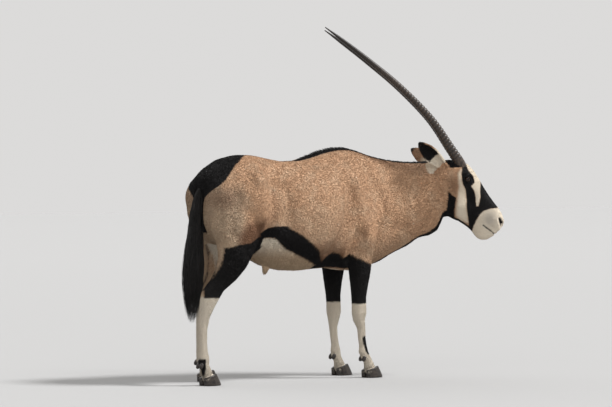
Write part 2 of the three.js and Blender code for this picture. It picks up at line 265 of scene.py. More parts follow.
@dataclass(frozen=True)
class Posture:
    """How the neck turns from the trunk. Straight places are (x, y, z) as if it didn't turn.

    In a straight place x runs from the rump to the nose, y to the animal's left, z up.

    Attributes:
        turn: how far the head is turned to the animal's right.
        turn_from: straight x where the turn starts.
        turn_to: straight x where it is complete.
        shift_x: where straight x = 0 stands in the frame.
        shift_y: where the trunk's middle stands in the frame.
        steps: how finely the turn is added up.
        rounds: how often a straight place is corrected.
    """

    turn: float = math.radians(35.0)
    turn_from: float = 0.420
    turn_to: float = 0.850
    shift_x: float = -0.272
    shift_y: float = 0.009
    steps: int = 300
    rounds: int = 7

    def _line(self) -> tuple[Array, Array, Array, Array]:
        """Adds the turn up.

        Returns:
            The turning stretch as arrays of straight x, heading, x and y.
        """
        along = np.linspace(self.turn_from, self.turn_to, self.steps)
        share = (along - self.turn_from) / (self.turn_to - self.turn_from)
        heading = -self.turn * share * share * (3.0 - 2.0 * share)
        middle = (heading[1:] + heading[:-1]) / 2.0
        step = along[1] - along[0]
        x = self.turn_from + np.concatenate([[0.0], np.cumsum(np.cos(middle) * step)])
        y = np.concatenate([[0.0], np.cumsum(np.sin(middle) * step)])
        return along, heading, x, y

    def centre(self, along: Array) -> tuple[Array, Array, Array]:
        """Follows the centre line.

        Args:
            along: (n,) straight x.

        Returns:
            Its x, y and heading there.
        """
        line, heading, x, y = self._line()
        before = along < self.turn_from
        past = np.maximum(along - self.turn_to, 0.0)
        at_x = np.where(before, along, np.interp(along, line, x) + past * math.cos(self.turn))
        at_y = np.where(before, 0.0, np.interp(along, line, y) - past * math.sin(self.turn))
        return at_x, at_y, np.where(before, 0.0, np.interp(along, line, heading))

    def straighten(self, points: Array) -> Array:
        """Places on the animal as straight places.

        Args:
            points: (n, 3) places in the frame.

        Returns:
            (n, 3) straight places.
        """
        px, py = points[:, 0] - self.shift_x, points[:, 1] - self.shift_y
        along = px.copy()
        for _ in range(self.rounds):
            x, y, heading = self.centre(along)
            along = along + (px - x) * np.cos(heading) + (py - y) * np.sin(heading)
        x, y, heading = self.centre(along)
        across = (py - y) * np.cos(heading) - (px - x) * np.sin(heading)
        return np.stack([along, across, points[:, 2]], 1)

    def pose(self, straight: Array) -> Array:
        """Straight places as places on the animal, the other way round from straighten.

        Args:
            straight: (n, 3) straight places.

        Returns:
            (n, 3) places in the frame.
        """
        x, y, heading = self.centre(straight[:, 0])
        at_x = x - straight[:, 1] * np.sin(heading) + self.shift_x
        at_y = y + straight[:, 1] * np.cos(heading) + self.shift_y
        return np.stack([at_x, at_y, straight[:, 2]], 1)

    def pose_with_head(self, straight: Array) -> Array:
        """Straight places as places on the animal, all turned as the head is.

        Args:
            straight: (n, 3) straight places.

        Returns:
            (n, 3) places in the frame.
        """
        x, y, heading = self.centre(np.array([self.turn_to]))
        c, s = math.cos(heading[0]), math.sin(heading[0])
        ahead, aside = straight[:, 0] - self.turn_to, straight[:, 1]
        at_x = x[0] + ahead * c - aside * s + self.shift_x
        at_y = y[0] + ahead * s + aside * c + self.shift_y
        return np.stack([at_x, at_y, straight[:, 2]], 1)

    def turn_vectors(self, along: Array, vectors: Array, back: bool = False) -> Array:
        """Turns directions as the animal is turned.

        Args:
            along: (n,) straight x.
            vectors: (n, 3) straight directions there.
            back: whether directions in the frame are made straight instead.

        Returns:
            (n, 3) turned directions.
        """
        heading = self.centre(along)[2] * (-1.0 if back else 1.0)
        c, s = np.cos(heading), np.sin(heading)
        x, y = vectors[:, 0], vectors[:, 1]
        return np.stack([x * c - y * s, x * s + y * c, vectors[:, 2]], 1)


# The distance field of the solids


def level_set(
    points: Array, step: float, band: float, quads: Array | None = None
) -> openvdb.FloatGrid:
    """Measures distances to a closed surface.

    Args:
        points: the surface's points, three for each triangle where it has no quads.
        step: the grid's pitch.
        band: how many steps from the surface are measured.
        quads: the points of its quads.

    Returns:
        The sparse grid, negative inside.
    """
    transform = openvdb.createLinearTransform(voxelSize=step)
    faces = {"quads": quads}
    if quads is None:
        faces = {"triangles": np.arange(len(points), dtype=np.uint32).reshape(-1, 3)}
    return openvdb.FloatGrid.createLevelSetFromPolygons(
        points, transform=transform, halfWidth=band, **faces
    )


@dataclass
class DistanceGrid:
    """Distances to a surface on a grid of boxes, negative inside.

    Attributes:
        values: the distances.
        low: the grid's lowest corner.
        step: its pitch.
    """

    values: Array
    low: Array
    step: float

    @classmethod
    def copied(
        cls, grid: openvdb.FloatGrid, first: Array, size: Array, step: float, band: float
    ) -> "DistanceGrid":
        """Copies a box out of a sparse grid.

        Args:
            grid: the sparse grid.
            first: the box's lowest corner, in steps.
            size: how many grid points it has along each axis.
            step: the grid's pitch.
            band: how many steps from the surface were measured.

        Returns:
            The grid of the box.
        """
        values = np.full(size, band * step, np.float32)
        grid.copyToArray(values, ijk=tuple(int(i) for i in first))
        return cls(values, first * step, step)

    @classmethod
    def measured(
        cls, surface: tuple[Array, Array], low: Place, high: Place,
        step: float, blur: float, band: float = 6.0,
    ) -> "DistanceGrid":
        """Measures a closed surface of quads.

        Args:
            surface: its points and quads.
            low: the box's lowest corner.
            high: its highest corner.
            step: the grid's pitch.
            blur: how far the field is softened, as a deviation in metres.
            band: how many steps from the surface are measured.

        Returns:
            The grid.
        """
        grid = level_set(surface[0], step, band, surface[1])
        first = np.floor(np.array(low) / step).astype(int)
        size = np.ceil(np.array(high) / step).astype(int) - first + 1
        made = cls.copied(grid, first, size, step, band)
        made.soften(blur / step)
        return made

    def soften(self, deviation: float) -> None:
        """Blurs the field.

        Args:
            deviation: how far, as a deviation in steps.
        """
        reach = int(math.ceil(3.0 * deviation))
        weights = np.exp(-0.5 * (np.arange(-reach, reach + 1) / deviation) ** 2)
        weights = (weights / weights.sum()).astype(np.float32)
        for axis in range(3):
            pad = [(reach, reach) if a == axis else (0, 0) for a in range(3)]
            wide = np.pad(self.values, pad, mode="edge")
            total = np.zeros_like(self.values)
            for k, weight in enumerate(weights):
                cut = [slice(None)] * 3
                cut[axis] = slice(k, k + self.values.shape[axis])
                total += weight * wide[tuple(cut)]
            self.values = total

    def at(self, points: Array) -> Array:
        """Reads the field, straight between grid points.

        Args:
            points: (n, 3) places.

        Returns:
            (n,) distances.
        """
        top = np.array(self.values.shape) - 1.001
        place = np.clip((points - self.low) / self.step, 0.0, top)
        corner = place.astype(int)
        f = (place - corner).astype(np.float32)
        i, j, k = corner.T
        v = self.values

        def column(i: Array, j: Array) -> Array:
            """The field along one upright edge of each box."""
            return v[i, j, k] * (1 - f[:, 2]) + v[i, j, k + 1] * f[:, 2]

        near = column(i, j) * (1 - f[:, 1]) + column(i, j + 1) * f[:, 1]
        far = column(i + 1, j) * (1 - f[:, 1]) + column(i + 1, j + 1) * f[:, 1]
        return near * (1 - f[:, 0]) + far * f[:, 0]

    def places(self) -> Array:
        """Every grid point's place, as (n, 3)."""
        axes = [self.low[a] + self.step * np.arange(self.values.shape[a]) for a in range(3)]
        return np.stack(np.meshgrid(*axes, indexing="ij"), -1).reshape(-1, 3)


def quads_of(values: Array, low: Array, step: float) -> tuple[Array, Array]:
    """The surface where a field is zero.

    Args:
        values: the field on a grid.
        low: the grid's lowest corner.
        step: its pitch.

    Returns:
        The surface's points and quads, facing out of the negative side.
    """
    grid = openvdb.FloatGrid(float(values.max()))
    grid.copyFromArray(np.ascontiguousarray(values))
    points, quads = grid.convertToQuads(isovalue=0.0)
    return points * step + low, quads[:, ::-1]


def triangles_of(thing: Object) -> Array:
    """Reads an object's triangles.

    Args:
        thing: the mesh object.

    Returns:
        (n * 3, 3) places of their corners.
    """
    thing.data.calc_loop_triangles()
    corners = read(thing.data.loop_triangles, "vertices", 3, np.int32)
    return read(thing.data.vertices, "co", 3)[corners.reshape(-1)]


# The skin's form


@dataclass(frozen=True)
class Swell:
    """A soft rise or hollow of the skin, mirrored to both sides.

    Attributes:
        place: its middle, a straight place on the right side, with y counted outwards.
        reach: how far it spreads along each axis.
        rise: how far it stands out; below 0 it is a hollow.
    """

    place: Place
    reach: Place
    rise: float


@dataclass(frozen=True)
class Fold:
    """A groove or ridge along a line on both sides.

    Attributes:
        line: straight places with y counted outwards.
        width: how far it spreads.
        rise: how far it stands out; below 0 it is a groove.
    """

    line: tuple[Place, ...]
    width: float
    rise: float

    def away(self, outward: Array) -> Array:
        """How far (n, 3) places are from its rounded line."""
        return line_distance(outward, rounded(self.line))


@dataclass
class BodyForm:
    """The skin as a field: zero on the skin and negative inside.

    Attributes:
        posture: how the animal stands.
        closing: how far the solids are grown and shrunk again to close their thin cuts.
        trunk_coat: how deep the coat is over the trunk.
        leg_coat: how deep it is on the legs.
        head_coat: how deep it is on the head.
        ear_depth: how deep it is on the ears.
        relief: how much more than drawn the swells and folds stand out.
        swells: the forms of muscle and bone.
        folds: the grooves between them.
        throat: how far the neck's lower edge stands out, at straight x.
        throat_wide: how far that spreads to the sides.
        ears: the straight base and tip of each ear, the right one first.
        eye: the middle of an eye's opening, straight, with y counted outwards.
        eye_long: half the opening's length.
        eye_high: half its height.
        eye_tilt: how far its front corner is turned down.
        lid_rise: how far the lids stand out.
        nostril: the straight middle line of a nostril, with y counted outwards.
        mouth: the line between the lips, seen from the side.
        legs_at: straight x and y of the legs: right and left fore, right and left hind.
        shell_step: the pitch at which the solids are measured before they are closed.
        stub_top: how high the flat cuts under the horns may stand.
    """

    posture: Posture
    closing: float = 0.0025
    trunk_coat: float = 0.0045
    leg_coat: float = 0.0022
    head_coat: float = 0.0018
    ear_depth: float = 0.0012
    relief: float = 1.5
    swells: tuple[Swell, ...] = (
        Swell((-0.285, 0.200, 1.050), (0.045, 0.070, 0.050), 0.016),  # point of the hip
        Swell((-0.480, 0.150, 0.960), (0.035, 0.060, 0.050), 0.009),  # pin bone
        Swell((-0.165, 0.205, 0.975), (0.060, 0.080, 0.090), -0.018),  # hollow of the flank
        Swell((-0.285, 0.210, 0.880), (0.070, 0.080, 0.110), 0.017),  # thigh muscle
        Swell((-0.470, 0.170, 0.840), (0.045, 0.060, 0.130), 0.004),  # rear thigh muscle
        Swell((0.100, 0.240, 0.840), (0.120, 0.080, 0.150), 0.014),  # barrel
        Swell((-0.130, 0.210, 0.850), (0.045, 0.080, 0.110), -0.012),  # hollow behind the ribs
        Swell((0.345, 0.190, 0.970), (0.050, 0.070, 0.110), 0.014),  # shoulder blade
        Swell((0.490, 0.165, 0.835), (0.038, 0.080, 0.042), 0.022),  # point of the shoulder
        Swell((0.380, 0.190, 0.800), (0.070, 0.080, 0.070), 0.010),  # upper arm
        Swell((0.395, 0.180, 0.715), (0.045, 0.080, 0.060), 0.015),  # elbow muscle
        Swell((0.300, 0.160, 0.610), (0.035, 0.050, 0.035), 0.007),  # elbow
        Swell((0.500, 0.110, 1.060), (0.090, 0.050, 0.060), 0.004),  # muscle before the withers
        Swell((0.600, 0.100, 0.880), (0.120, 0.050, 0.050), 0.004),  # neck muscle
        Swell((0.650, 0.100, 0.770), (0.140, 0.050, 0.030), -0.004),  # hollow over the windpipe
        Swell((1.005, 0.084, 0.880), (0.032, 0.040, 0.055), 0.008),  # cheek muscle
        Swell((1.068, 0.060, 0.925), (0.026, 0.040, 0.040), -0.007),  # hollow before the cheek
        Swell((1.066, 0.078, 1.045), (0.028, 0.030, 0.014), 0.006),  # brow
        Swell((1.205, 0.044, 0.800), (0.026, 0.030, 0.030), 0.004),  # swell behind the nostril
        Swell((1.120, 0.040, 0.735), (0.026, 0.030, 0.018), 0.003),  # lower lip
        Swell((1.165, 0.050, 0.870), (0.040, 0.025, 0.040), -0.003),  # side of the nose
    )
    folds: tuple[Fold, ...] = (
        Fold(((0.278, 0.182, 0.975), (0.279, 0.189, 0.918), (0.262, 0.195, 0.850),
              (0.240, 0.198, 0.780), (0.205, 0.196, 0.715), (0.165, 0.175, 0.650)), 0.038, -0.017),
        Fold(((-0.205, 0.205, 0.985), (-0.200, 0.205, 0.920), (-0.203, 0.205, 0.850),
              (-0.226, 0.195, 0.790), (-0.252, 0.180, 0.742), (-0.285, 0.170, 0.705),
              (-0.330, 0.170, 0.660)), 0.040, -0.016),
        Fold(((-0.420, 0.200, 0.930), (-0.440, 0.195, 0.840), (-0.440, 0.185, 0.760)), 0.030, -0.008),
        Fold(((0.405, 0.175, 0.880), (0.385, 0.190, 0.800), (0.360, 0.190, 0.740)), 0.028, -0.006),
        Fold(((0.470, 0.150, 1.010), (0.525, 0.150, 0.910), (0.542, 0.150, 0.840),
              (0.522, 0.150, 0.770), (0.488, 0.140, 0.690), (0.478, 0.130, 0.610)), 0.036, -0.016),
        Fold(((0.330, 0.190, 0.740), (0.300, 0.185, 0.690), (0.262, 0.180, 0.640)), 0.024, -0.009),
        Fold(((0.945, 0.080, 1.000), (0.955, 0.078, 0.930), (0.958, 0.070, 0.860)), 0.014, -0.007),
    )
    throat: Outline = (
        (0.500, 0.000), (0.575, 0.018), (0.610, 0.021), (0.650, 0.030), (0.700, 0.030),
        (0.750, 0.023), (0.800, 0.011), (0.850, 0.016), (0.890, 0.021), (0.915, 0.008), (0.935, 0.000),
    )
    throat_wide: float = 0.050
    ears: tuple[tuple[Place, Place], ...] = (
        ((0.940, -0.062, 1.078), (0.798, -0.112, 1.212)),
        ((0.940, 0.062, 1.078), (0.765, 0.104, 1.180)),
    )
    eye: Place = (1.053, 0.083, 1.021)
    eye_long: float = 0.0165
    eye_high: float = 0.0105
    eye_tilt: float = 0.55
    lid_rise: float = 0.0032
    nostril: tuple[Place, ...] = (
        (1.220, 0.037, 0.816), (1.228, 0.036, 0.802), (1.234, 0.031, 0.786), (1.237, 0.022, 0.768)
    )
    mouth: Outline = (
        (1.136, 0.781), (1.154, 0.768), (1.175, 0.752), (1.191, 0.738), (1.212, 0.724)
    )
    legs_at: Outline = ((0.402, -0.114), (0.388, 0.114), (-0.556, -0.119), (-0.414, 0.119))
    shell_step: float = 0.0035
    stub_top: float = 1.135

    def __post_init__(self) -> None:
        """Measures the solids, with their thin cuts closed, for the trunk, the legs and the head."""
        solids = [triangles_of(o) for n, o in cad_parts.items() if n != "tail_tassel"]
        grown = level_set(np.concatenate(solids), self.shell_step, 3.0)
        shell = grown.convertToQuads(isovalue=self.closing)
        box = DistanceGrid.measured
        self.trunk = box(shell, (-0.90, -0.31, -0.02), (0.62, 0.31, 1.24), step=0.0078, blur=0.0125)
        self.legs = box(shell, (-0.90, -0.24, -0.02), (0.30, 0.24, 0.80), step=0.0046, blur=0.0038)
        self.head = box(shell, (0.33, -0.46, 0.64), (0.93, 0.14, 1.26), step=0.0036, blur=0.0026)

    def leg_points(self, leg: int, straight: Array) -> tuple[Array, Array]:
        """Finds a leg's points near the floor.

        Args:
            leg: the leg's number in legs_at.
            straight: (n, 3) straight places.

        Returns:
            How far each lies ahead of the leg's middle, and whether it is on the leg.
        """
        x, y = self.legs_at[leg]
        ahead = straight[:, 0] - x
        return ahead, (np.abs(ahead) < 0.11) & (straight[:, 1] * y > 0.0)

    def coat_depth(self, straight: Array) -> Array:
        """How deep the coat is.

        Args:
            straight: (n, 3) straight places.

        Returns:
            (n,) depths.
        """
        on_head = ramp(0.86, 0.98, straight[:, 0])
        on_leg = ramp(0.66, 0.50, straight[:, 2]) * (straight[:, 0] < 0.6)
        depth = self.trunk_coat + (self.head_coat - self.trunk_coat) * on_head
        return depth + (self.leg_coat - depth) * on_leg

    def ear_share(self, straight: Array) -> Array:
        """How much places belong to an ear.

        Args:
            straight: (n, 3) straight places.

        Returns:
            (n,) shares, 0 to 1.
        """
        share = np.zeros(len(straight))
        near = (straight[:, 0] < 0.97) & (straight[:, 0] > 0.70) & (straight[:, 2] > 1.05)
        places = straight[near]
        best = np.zeros(len(places))
        for base, tip in self.ears:
            low, run = np.array(base), np.array(tip) - np.array(base)
            along = (places - low) @ run / (run @ run)
            away = np.linalg.norm(places - low - along[:, None] * run, axis=1)
            mine = ramp(0.08, 0.22, along) * ramp(0.085, 0.065, away)
            best = np.maximum(best, mine)
        share[near] = best
        return share

    def plain(self, points: Array, straight: Array) -> Array:
        """The solids' softened outer surface, moved in by the coat's depth.

        Args:
            points: (n, 3) places in the frame.
            straight: the same places, straight.

        Returns:
            (n,) distances to it, negative inside.
        """
        x, z = straight[:, 0], straight[:, 2]
        on_ear = self.ear_share(straight)
        to_head = np.maximum(ramp(0.62, 0.86, x), on_ear)
        to_leg = ramp(0.70, 0.54, z) * ramp(0.56, 0.47, x)
        near_tail = ramp(-0.500, -0.535, x) * ramp(0.05, 0.035, np.abs(straight[:, 1]))
        to_leg = np.maximum(to_leg, near_tail)
        value = self.trunk.at(points)
        value = value + (self.legs.at(points) - value) * to_leg
        value = value + (self.head.at(points) - value) * to_head
        depth = self.closing + self.coat_depth(straight)
        value = value + depth + (self.ear_depth - depth) * on_ear
        stub = z - self.stub_top - 1.2 * np.maximum(0.0, 0.930 - x)
        return np.where((x > 0.85) & (z > 1.12), np.maximum(value, stub), value)

    def detail(self, straight: Array) -> Array:
        """How far the skin stands out from the softened solids.

        Args:
            straight: (n, 3) straight places.

        Returns:
            (n,) distances.
        """
        outward = outwards(straight)
        rise = np.zeros(len(straight))
        for swell in self.swells:
            rise += self.relief * swell.rise * bump(outward, swell.place, swell.reach)
        for fold in self.folds:
            rise += self.relief * fold.rise * ridge(fold.away(outward), fold.width)
        under = ridge(straight[:, 1], self.throat_wide) * (straight[:, 2] < 0.9)
        low = rounded(self.throat)
        rise += under * np.interp(straight[:, 0], low[:, 0], low[:, 1], left=0.0, right=0.0)
        face = straight[:, 0] > 0.98
        rise[face] += self.face_detail(outward[face])
        low = straight[:, 2] < 0.45
        rise[low] += self.leg_detail(straight[low])
        return rise

    def crease(self, straight: Array) -> Array:
        """How deep in a fold places are.

        Args:
            straight: (n, 3) straight places.

        Returns:
            (n,) shares, 0 to 1.
        """
        outward = outwards(straight)
        shares = [ridge(fold.away(outward), 0.6 * fold.width) for fold in self.folds]
        return np.maximum.reduce(shares)

    def eye_share(self, outward: Array) -> Array:
        """How far out of the eye's opening places are.

        Args:
            outward: (n, 3) straight places with y counted outwards.

        Returns:
            (n,) shares of the opening's size, 1 on its edge.
        """
        c, s = math.cos(self.eye_tilt), math.sin(self.eye_tilt)
        dx, dz = outward[:, 0] - self.eye[0], outward[:, 2] - self.eye[2]
        along, up = dx * c - dz * s, dx * s + dz * c
        share = np.hypot(along / self.eye_long, up / self.eye_high)
        beside = np.abs(outward[:, 1] - self.eye[1]) > 0.035
        return np.where(beside, 9.0, share)

    def nostril_gap(self, outward: Array) -> Array:
        """How far places are outside a nostril's edge, as seen from the side.

        Args:
            outward: (n, 3) straight places with y counted outwards.

        Returns:
            (n,) distances, below 0 inside it.
        """
        line = rounded([(x, z) for x, _, z in self.nostril])
        gap = line_distance(outward[:, [0, 2]], line)
        gap = gap - 0.0042 - 0.0056 * ramp(0.822, 0.790, outward[:, 2])
        return np.where(outward[:, 1] > 0.009, gap, 0.05)

    def face_detail(self, outward: Array) -> Array:
        """How far the face stands out: eye openings, lids, nostrils and mouth.

        Args:
            outward: (n, 3) straight places with y counted outwards.

        Returns:
            (n,) distances.
        """
        share = self.eye_share(outward)
        above = ramp(-0.004, 0.006, outward[:, 2] - self.eye[2])
        rise = -0.0115 * ramp(1.12, 0.82, share)
        rise += (self.lid_rise * (0.75 + 0.5 * above)) * ridge(share - 1.22, 0.22)
        rise -= 0.0022 * ridge(share - 1.85, 0.20)
        hole = self.nostril_gap(outward)
        rise -= 0.0150 * ramp(0.0035, -0.0040, hole)
        rise += 0.0030 * ridge(hole - 0.0090, 0.0055)
        seam = line_distance(outward[:, [0, 2]], rounded(self.mouth))
        open_by = ramp(1.130, 1.150, outward[:, 0])
        rise -= 0.0050 * open_by * ridge(seam, 0.0034)
        rise += 0.0016 * open_by * ridge(seam - 0.0100, 0.0055)
        split = np.hypot(outward[:, 1] / 0.0022, np.minimum(0.0, outward[:, 0] - 1.222) / 0.006)
        rise -= 0.0030 * ridge(split, 1.0) * ramp(0.800, 0.780, outward[:, 2])
        return rise

    def leg_detail(self, straight: Array) -> Array:
        """The grooves before the tendons of the lower legs.

        Args:
            straight: (n, 3) straight places.

        Returns:
            (n,) distances that the skin stands out there, below 0.
        """
        rise = np.zeros(len(straight))
        z = straight[:, 2]
        span = ramp(0.125, 0.160, z) * ramp(0.345, 0.300, z)
        for leg in range(len(self.legs_at)):
            ahead, mine = self.leg_points(leg, straight)
            lean = -0.006 if leg < 2 else -0.012
            rise += np.where(mine, -0.0035 * ridge(ahead - lean, 0.0065) * span, 0.0)
        return rise

    def value(self, points: Array) -> Array:
        """The whole field at (n, 3) places."""
        straight = self.posture.straighten(points)
        return self.plain(points, straight) - self.detail(straight)

    def settle(self, points: Array, rounds: int = 4, limit: float = 0.006) -> Array:
        """Moves points straight to the skin.

        Args:
            points: (n, 3) places near it.
            rounds: how many steps are taken.
            limit: the longest step.

        Returns:
            The moved points.
        """
        moved = points.astype(float).copy()
        for _ in range(rounds):
            here = self.value(moved)
            slope = self.slope(moved)
            steep = np.maximum(np.einsum("ij,ij->i", slope, slope), 0.15)
            step = np.clip(here / steep, -limit, limit)
            moved -= slope * step[:, None]
        return moved

    def slope(self, points: Array, reach: float = 0.0012) -> Array:
        """The field's gradient.

        Args:
            points: (n, 3) places.
            reach: how far apart the field is compared.

        Returns:
            (n, 3) gradients.
        """
        slope = np.empty((len(points), 3))
        for axis in range(3):
            offset = np.zeros(3)
            offset[axis] = reach
            slope[:, axis] = self.value(points + offset) - self.value(points - offset)
        return slope / (2.0 * reach)


@dataclass
class Skin:
    """The one skin over all the flesh.

    The trunk, the legs and the neck's foot are one coarser half, and the head is a finer one.

    Attributes:
        form: the field it follows.
        join_at: straight x where the fine head meets the coarser body.
        body_step: the body's mesh pitch.
        head_step: the head's mesh pitch.
        near_skin: how near the solids' surface the field is worked out.
        gap: how far each half stops short of the joining plane.
        middle: how high the neck's middle is there.
        body_box: the box that the body is worked out in.
        head_box: the head's box.
    """

    form: BodyForm
    join_at: float = 0.755
    body_step: float = 0.0098
    head_step: float = 0.0047
    near_skin: float = 0.030
    gap: float = 0.0025
    middle: float = 0.92
    body_box: tuple[Place, Place] = ((-0.895, -0.30, -0.015), (0.60, 0.30, 1.23))
    head_box: tuple[Place, Place] = ((0.36, -0.455, 0.65), (0.925, 0.13, 1.25))

    def _cut_plane(self, offset: float) -> tuple[Vector, Vector]:
        """Finds the joining plane.

        Args:
            offset: how far it is moved towards the head.

        Returns:
            A point on the plane, and its direction.
        """
        posture = self.form.posture
        at = np.array([self.join_at + offset])
        x, y, heading = posture.centre(at)
        middle = Vector((x[0] + posture.shift_x, y[0] + posture.shift_y, self.middle))
        return middle, Vector((math.cos(heading[0]), math.sin(heading[0]), 0.0))

    def _half(self, low: Place, high: Place, step: float, keep_ahead: bool) -> Mesh:
        """The skin on one side of the joining plane.

        Args:
            low: the box's lowest corner.
            high: its highest corner.
            step: the mesh pitch.
            keep_ahead: whether the head's side is kept.

        Returns:
            The mesh, open at the joining plane.
        """
        first = np.array(low)
        size = np.ceil((np.array(high) - first) / step).astype(int)
        grid = DistanceGrid(np.empty(size, np.float32), first, step)
        places = grid.places()
        posture = self.form.posture
        rough = (self.form.head if keep_ahead else self.form.trunk).at(places)
        values = np.where(rough > 0.0, 3.0 * step, -3.0 * step).astype(np.float32)
        close = np.flatnonzero(np.abs(rough + self.form.closing) < self.near_skin)
        near = places[close]
        values[close] = self.form.plain(near, posture.straighten(near))
        points, quads = quads_of(values.reshape(size), first, step)
        mesh = mesh_of("half", points, quads)
        bm = bmesh.new()
        bm.from_mesh(mesh)
        middle, along = self._cut_plane(self.gap if keep_ahead else -self.gap)
        geometry = [*bm.verts, *bm.edges, *bm.faces]
        bmesh.ops.bisect_plane(
            bm, geom=geometry, plane_co=middle, plane_no=along,
            clear_inner=keep_ahead, clear_outer=not keep_ahead,
        )
        bm.to_mesh(mesh)
        bm.free()
        LOG.info("half of the skin: %d faces", len(mesh.polygons))
        return mesh

    def build(self) -> Object:
        """Builds the skin as one closed mesh.

        Returns:
            The skin's object, without its finish.
        """
        body = self._half(*self.body_box, self.body_step, keep_ahead=False)
        head = self._half(*self.head_box, self.head_step, keep_ahead=True)
        whole = bmesh.new()
        for half in (body, head):
            whole.from_mesh(half)
            bpy.data.meshes.remove(half)
        self._keep_largest(whole)
        self._zip(whole)
        mesh = bpy.data.meshes.new("skin")
        whole.to_mesh(mesh)
        whole.free()
        self._refine(mesh)
        return placed("skin", mesh)

    def _refine(self, mesh: Mesh) -> None:
        """Halves the faces where the skin turns sharply, and settles every point on the field.

        Args:
            mesh: the closed skin.
        """
        for level in range(2):
            bm = bmesh.new()
            bm.from_mesh(mesh)
            bm.verts.ensure_lookup_table()
            places = np.array([v.co for v in bm.verts])
            straight = self.form.posture.straighten(places)
            fine = self._fine_places(straight, level)
            edges = [e for e in bm.edges if fine[e.verts[0].index] and fine[e.verts[1].index]]
            bmesh.ops.subdivide_edges(bm, edges=edges, cuts=1, use_grid_fill=True)
            bm.to_mesh(mesh)
            bm.free()
        settled = self.form.settle(read(mesh.vertices, "co", 3, float))
        mesh.vertices.foreach_set("co", settled.reshape(-1).astype(np.float32))
        mesh.shade_smooth()
        mesh.update()

    def _fine_places(self, straight: Array, level: int) -> Array:
        """Which points lie where smaller faces are needed.

        Args:
            straight: (n, 3) straight places.
            level: 0 for the first halving, 1 for the second.

        Returns:
            (n,) booleans.
        """
        outward = outwards(straight)
        form = self.form
        by_eye, by_nostril, by_mouth = ((2.3, 0.022, 0.013), (1.6, 0.012, 0.006))[level]
        lids = form.eye_share(outward) < by_eye
        hole = line_distance(outward, np.array(form.nostril)) < by_nostril
        seam = line_distance(outward[:, [0, 2]], np.array(form.mouth)) < by_mouth
        lips = seam & (outward[:, 1] < 0.06)
        fine = (outward[:, 0] > 0.98) & (lids | hole | lips)
        if level == 0:
            fine |= (straight[:, 2] < 0.52) & (straight[:, 0] < 0.60)
        return fine

    @staticmethod
    def _keep_largest(bm: bmesh.types.BMesh) -> None:
        """Deletes loose scraps, keeping the two big halves.

        Args:
            bm: the mesh of both halves.
        """
        seen: set = set()
        groups = []
        for vert in bm.verts:
            if vert in seen:
                continue
            group, stack = [], [vert]
            seen.add(vert)
            while stack:
                here = stack.pop()
                group.append(here)
                for edge in here.link_edges:
                    other = edge.other_vert(here)
                    if other not in seen:
                        seen.add(other)
                        stack.append(other)
            groups.append(group)
        groups.sort(key=len, reverse=True)
        LOG.info("separate shells: %s", [len(g) for g in groups[:8]])
        for group in groups[2:]:
            bmesh.ops.delete(bm, geom=group, context="VERTS")

    def _zip(self, bm: bmesh.types.BMesh) -> None:
        """Joins the two open rims with a strip of triangles.

        Args:
            bm: the mesh of both halves.
        """
        middle, along = self._cut_plane(0.0)
        across = along.cross(Vector((0.0, 0.0, 1.0))).normalized()
        rims: list[list] = [[], []]
        for vert in bm.verts:
            if any(e.is_boundary for e in vert.link_edges):
                ahead = (vert.co - middle).dot(along) > 0.0
                angle = math.atan2(vert.co.z - middle.z, (vert.co - middle).dot(across))
                rims[int(ahead)].append((angle, vert))
        near, far = (sorted(rim, key=lambda pair: pair[0]) for rim in rims)
        LOG.info("rims: %d and %d points", len(near), len(far))
        near, far = ([*rim, (rim[0][0] + math.tau, rim[0][1])] for rim in (near, far))
        i, j, last_i, last_j = 0, 0, len(near) - 1, len(far) - 1
        while i < last_i or j < last_j:
            corners = [near[i][1], far[j][1]]
            if j >= last_j or (i < last_i and near[i + 1][0] <= far[j + 1][0]):
                i += 1
                corners.insert(1, near[i][1])
            else:
                j += 1
                corners.insert(1, far[j][1])
            if bm.faces.get(corners) is None:
                bm.faces.new(corners)
        bmesh.ops.recalc_face_normals(bm, faces=bm.faces[:])


# The coat's markings and lie


def only(where: Array, inside: Array) -> Array:
    """A marking's distances where it may be, and far outside elsewhere."""
    return np.where(where, inside, -FAR)


def joined(marks: list[Array]) -> Array:
    """The distances inside any of several markings."""
    return np.maximum.reduce([np.clip(mark, -FAR, FAR) for mark in marks])


class Seen:
    """Straight places, with what the markings ask of them."""

    def __init__(self, p: Array) -> None:
        """Takes the places.

        Args:
            p: (n, 3) straight places.
        """
        self.p, self.x, self.z = p, p[:, 0], p[:, 2]
        self.side = np.abs(p[:, 1])
        self.flat = p[:, [0, 2]]

    def inside(self, outline: Outline) -> Array:
        """How far each lies inside an outline seen from the side."""
        return inside_by(self.flat, np.array(outline))

    def on_face(self, outline: Outline) -> Array:
        """How far each lies inside an outline on the face."""
        return only(self.x > 0.93, self.inside(outline))

    def spot(self, x: float, z: float, long: float, high: float) -> Array:
        """A soft round mask on both sides."""
        return bump(self.p * np.array([1.0, 0.0, 1.0]), (x, 0.0, z), (long, 1.0, high))


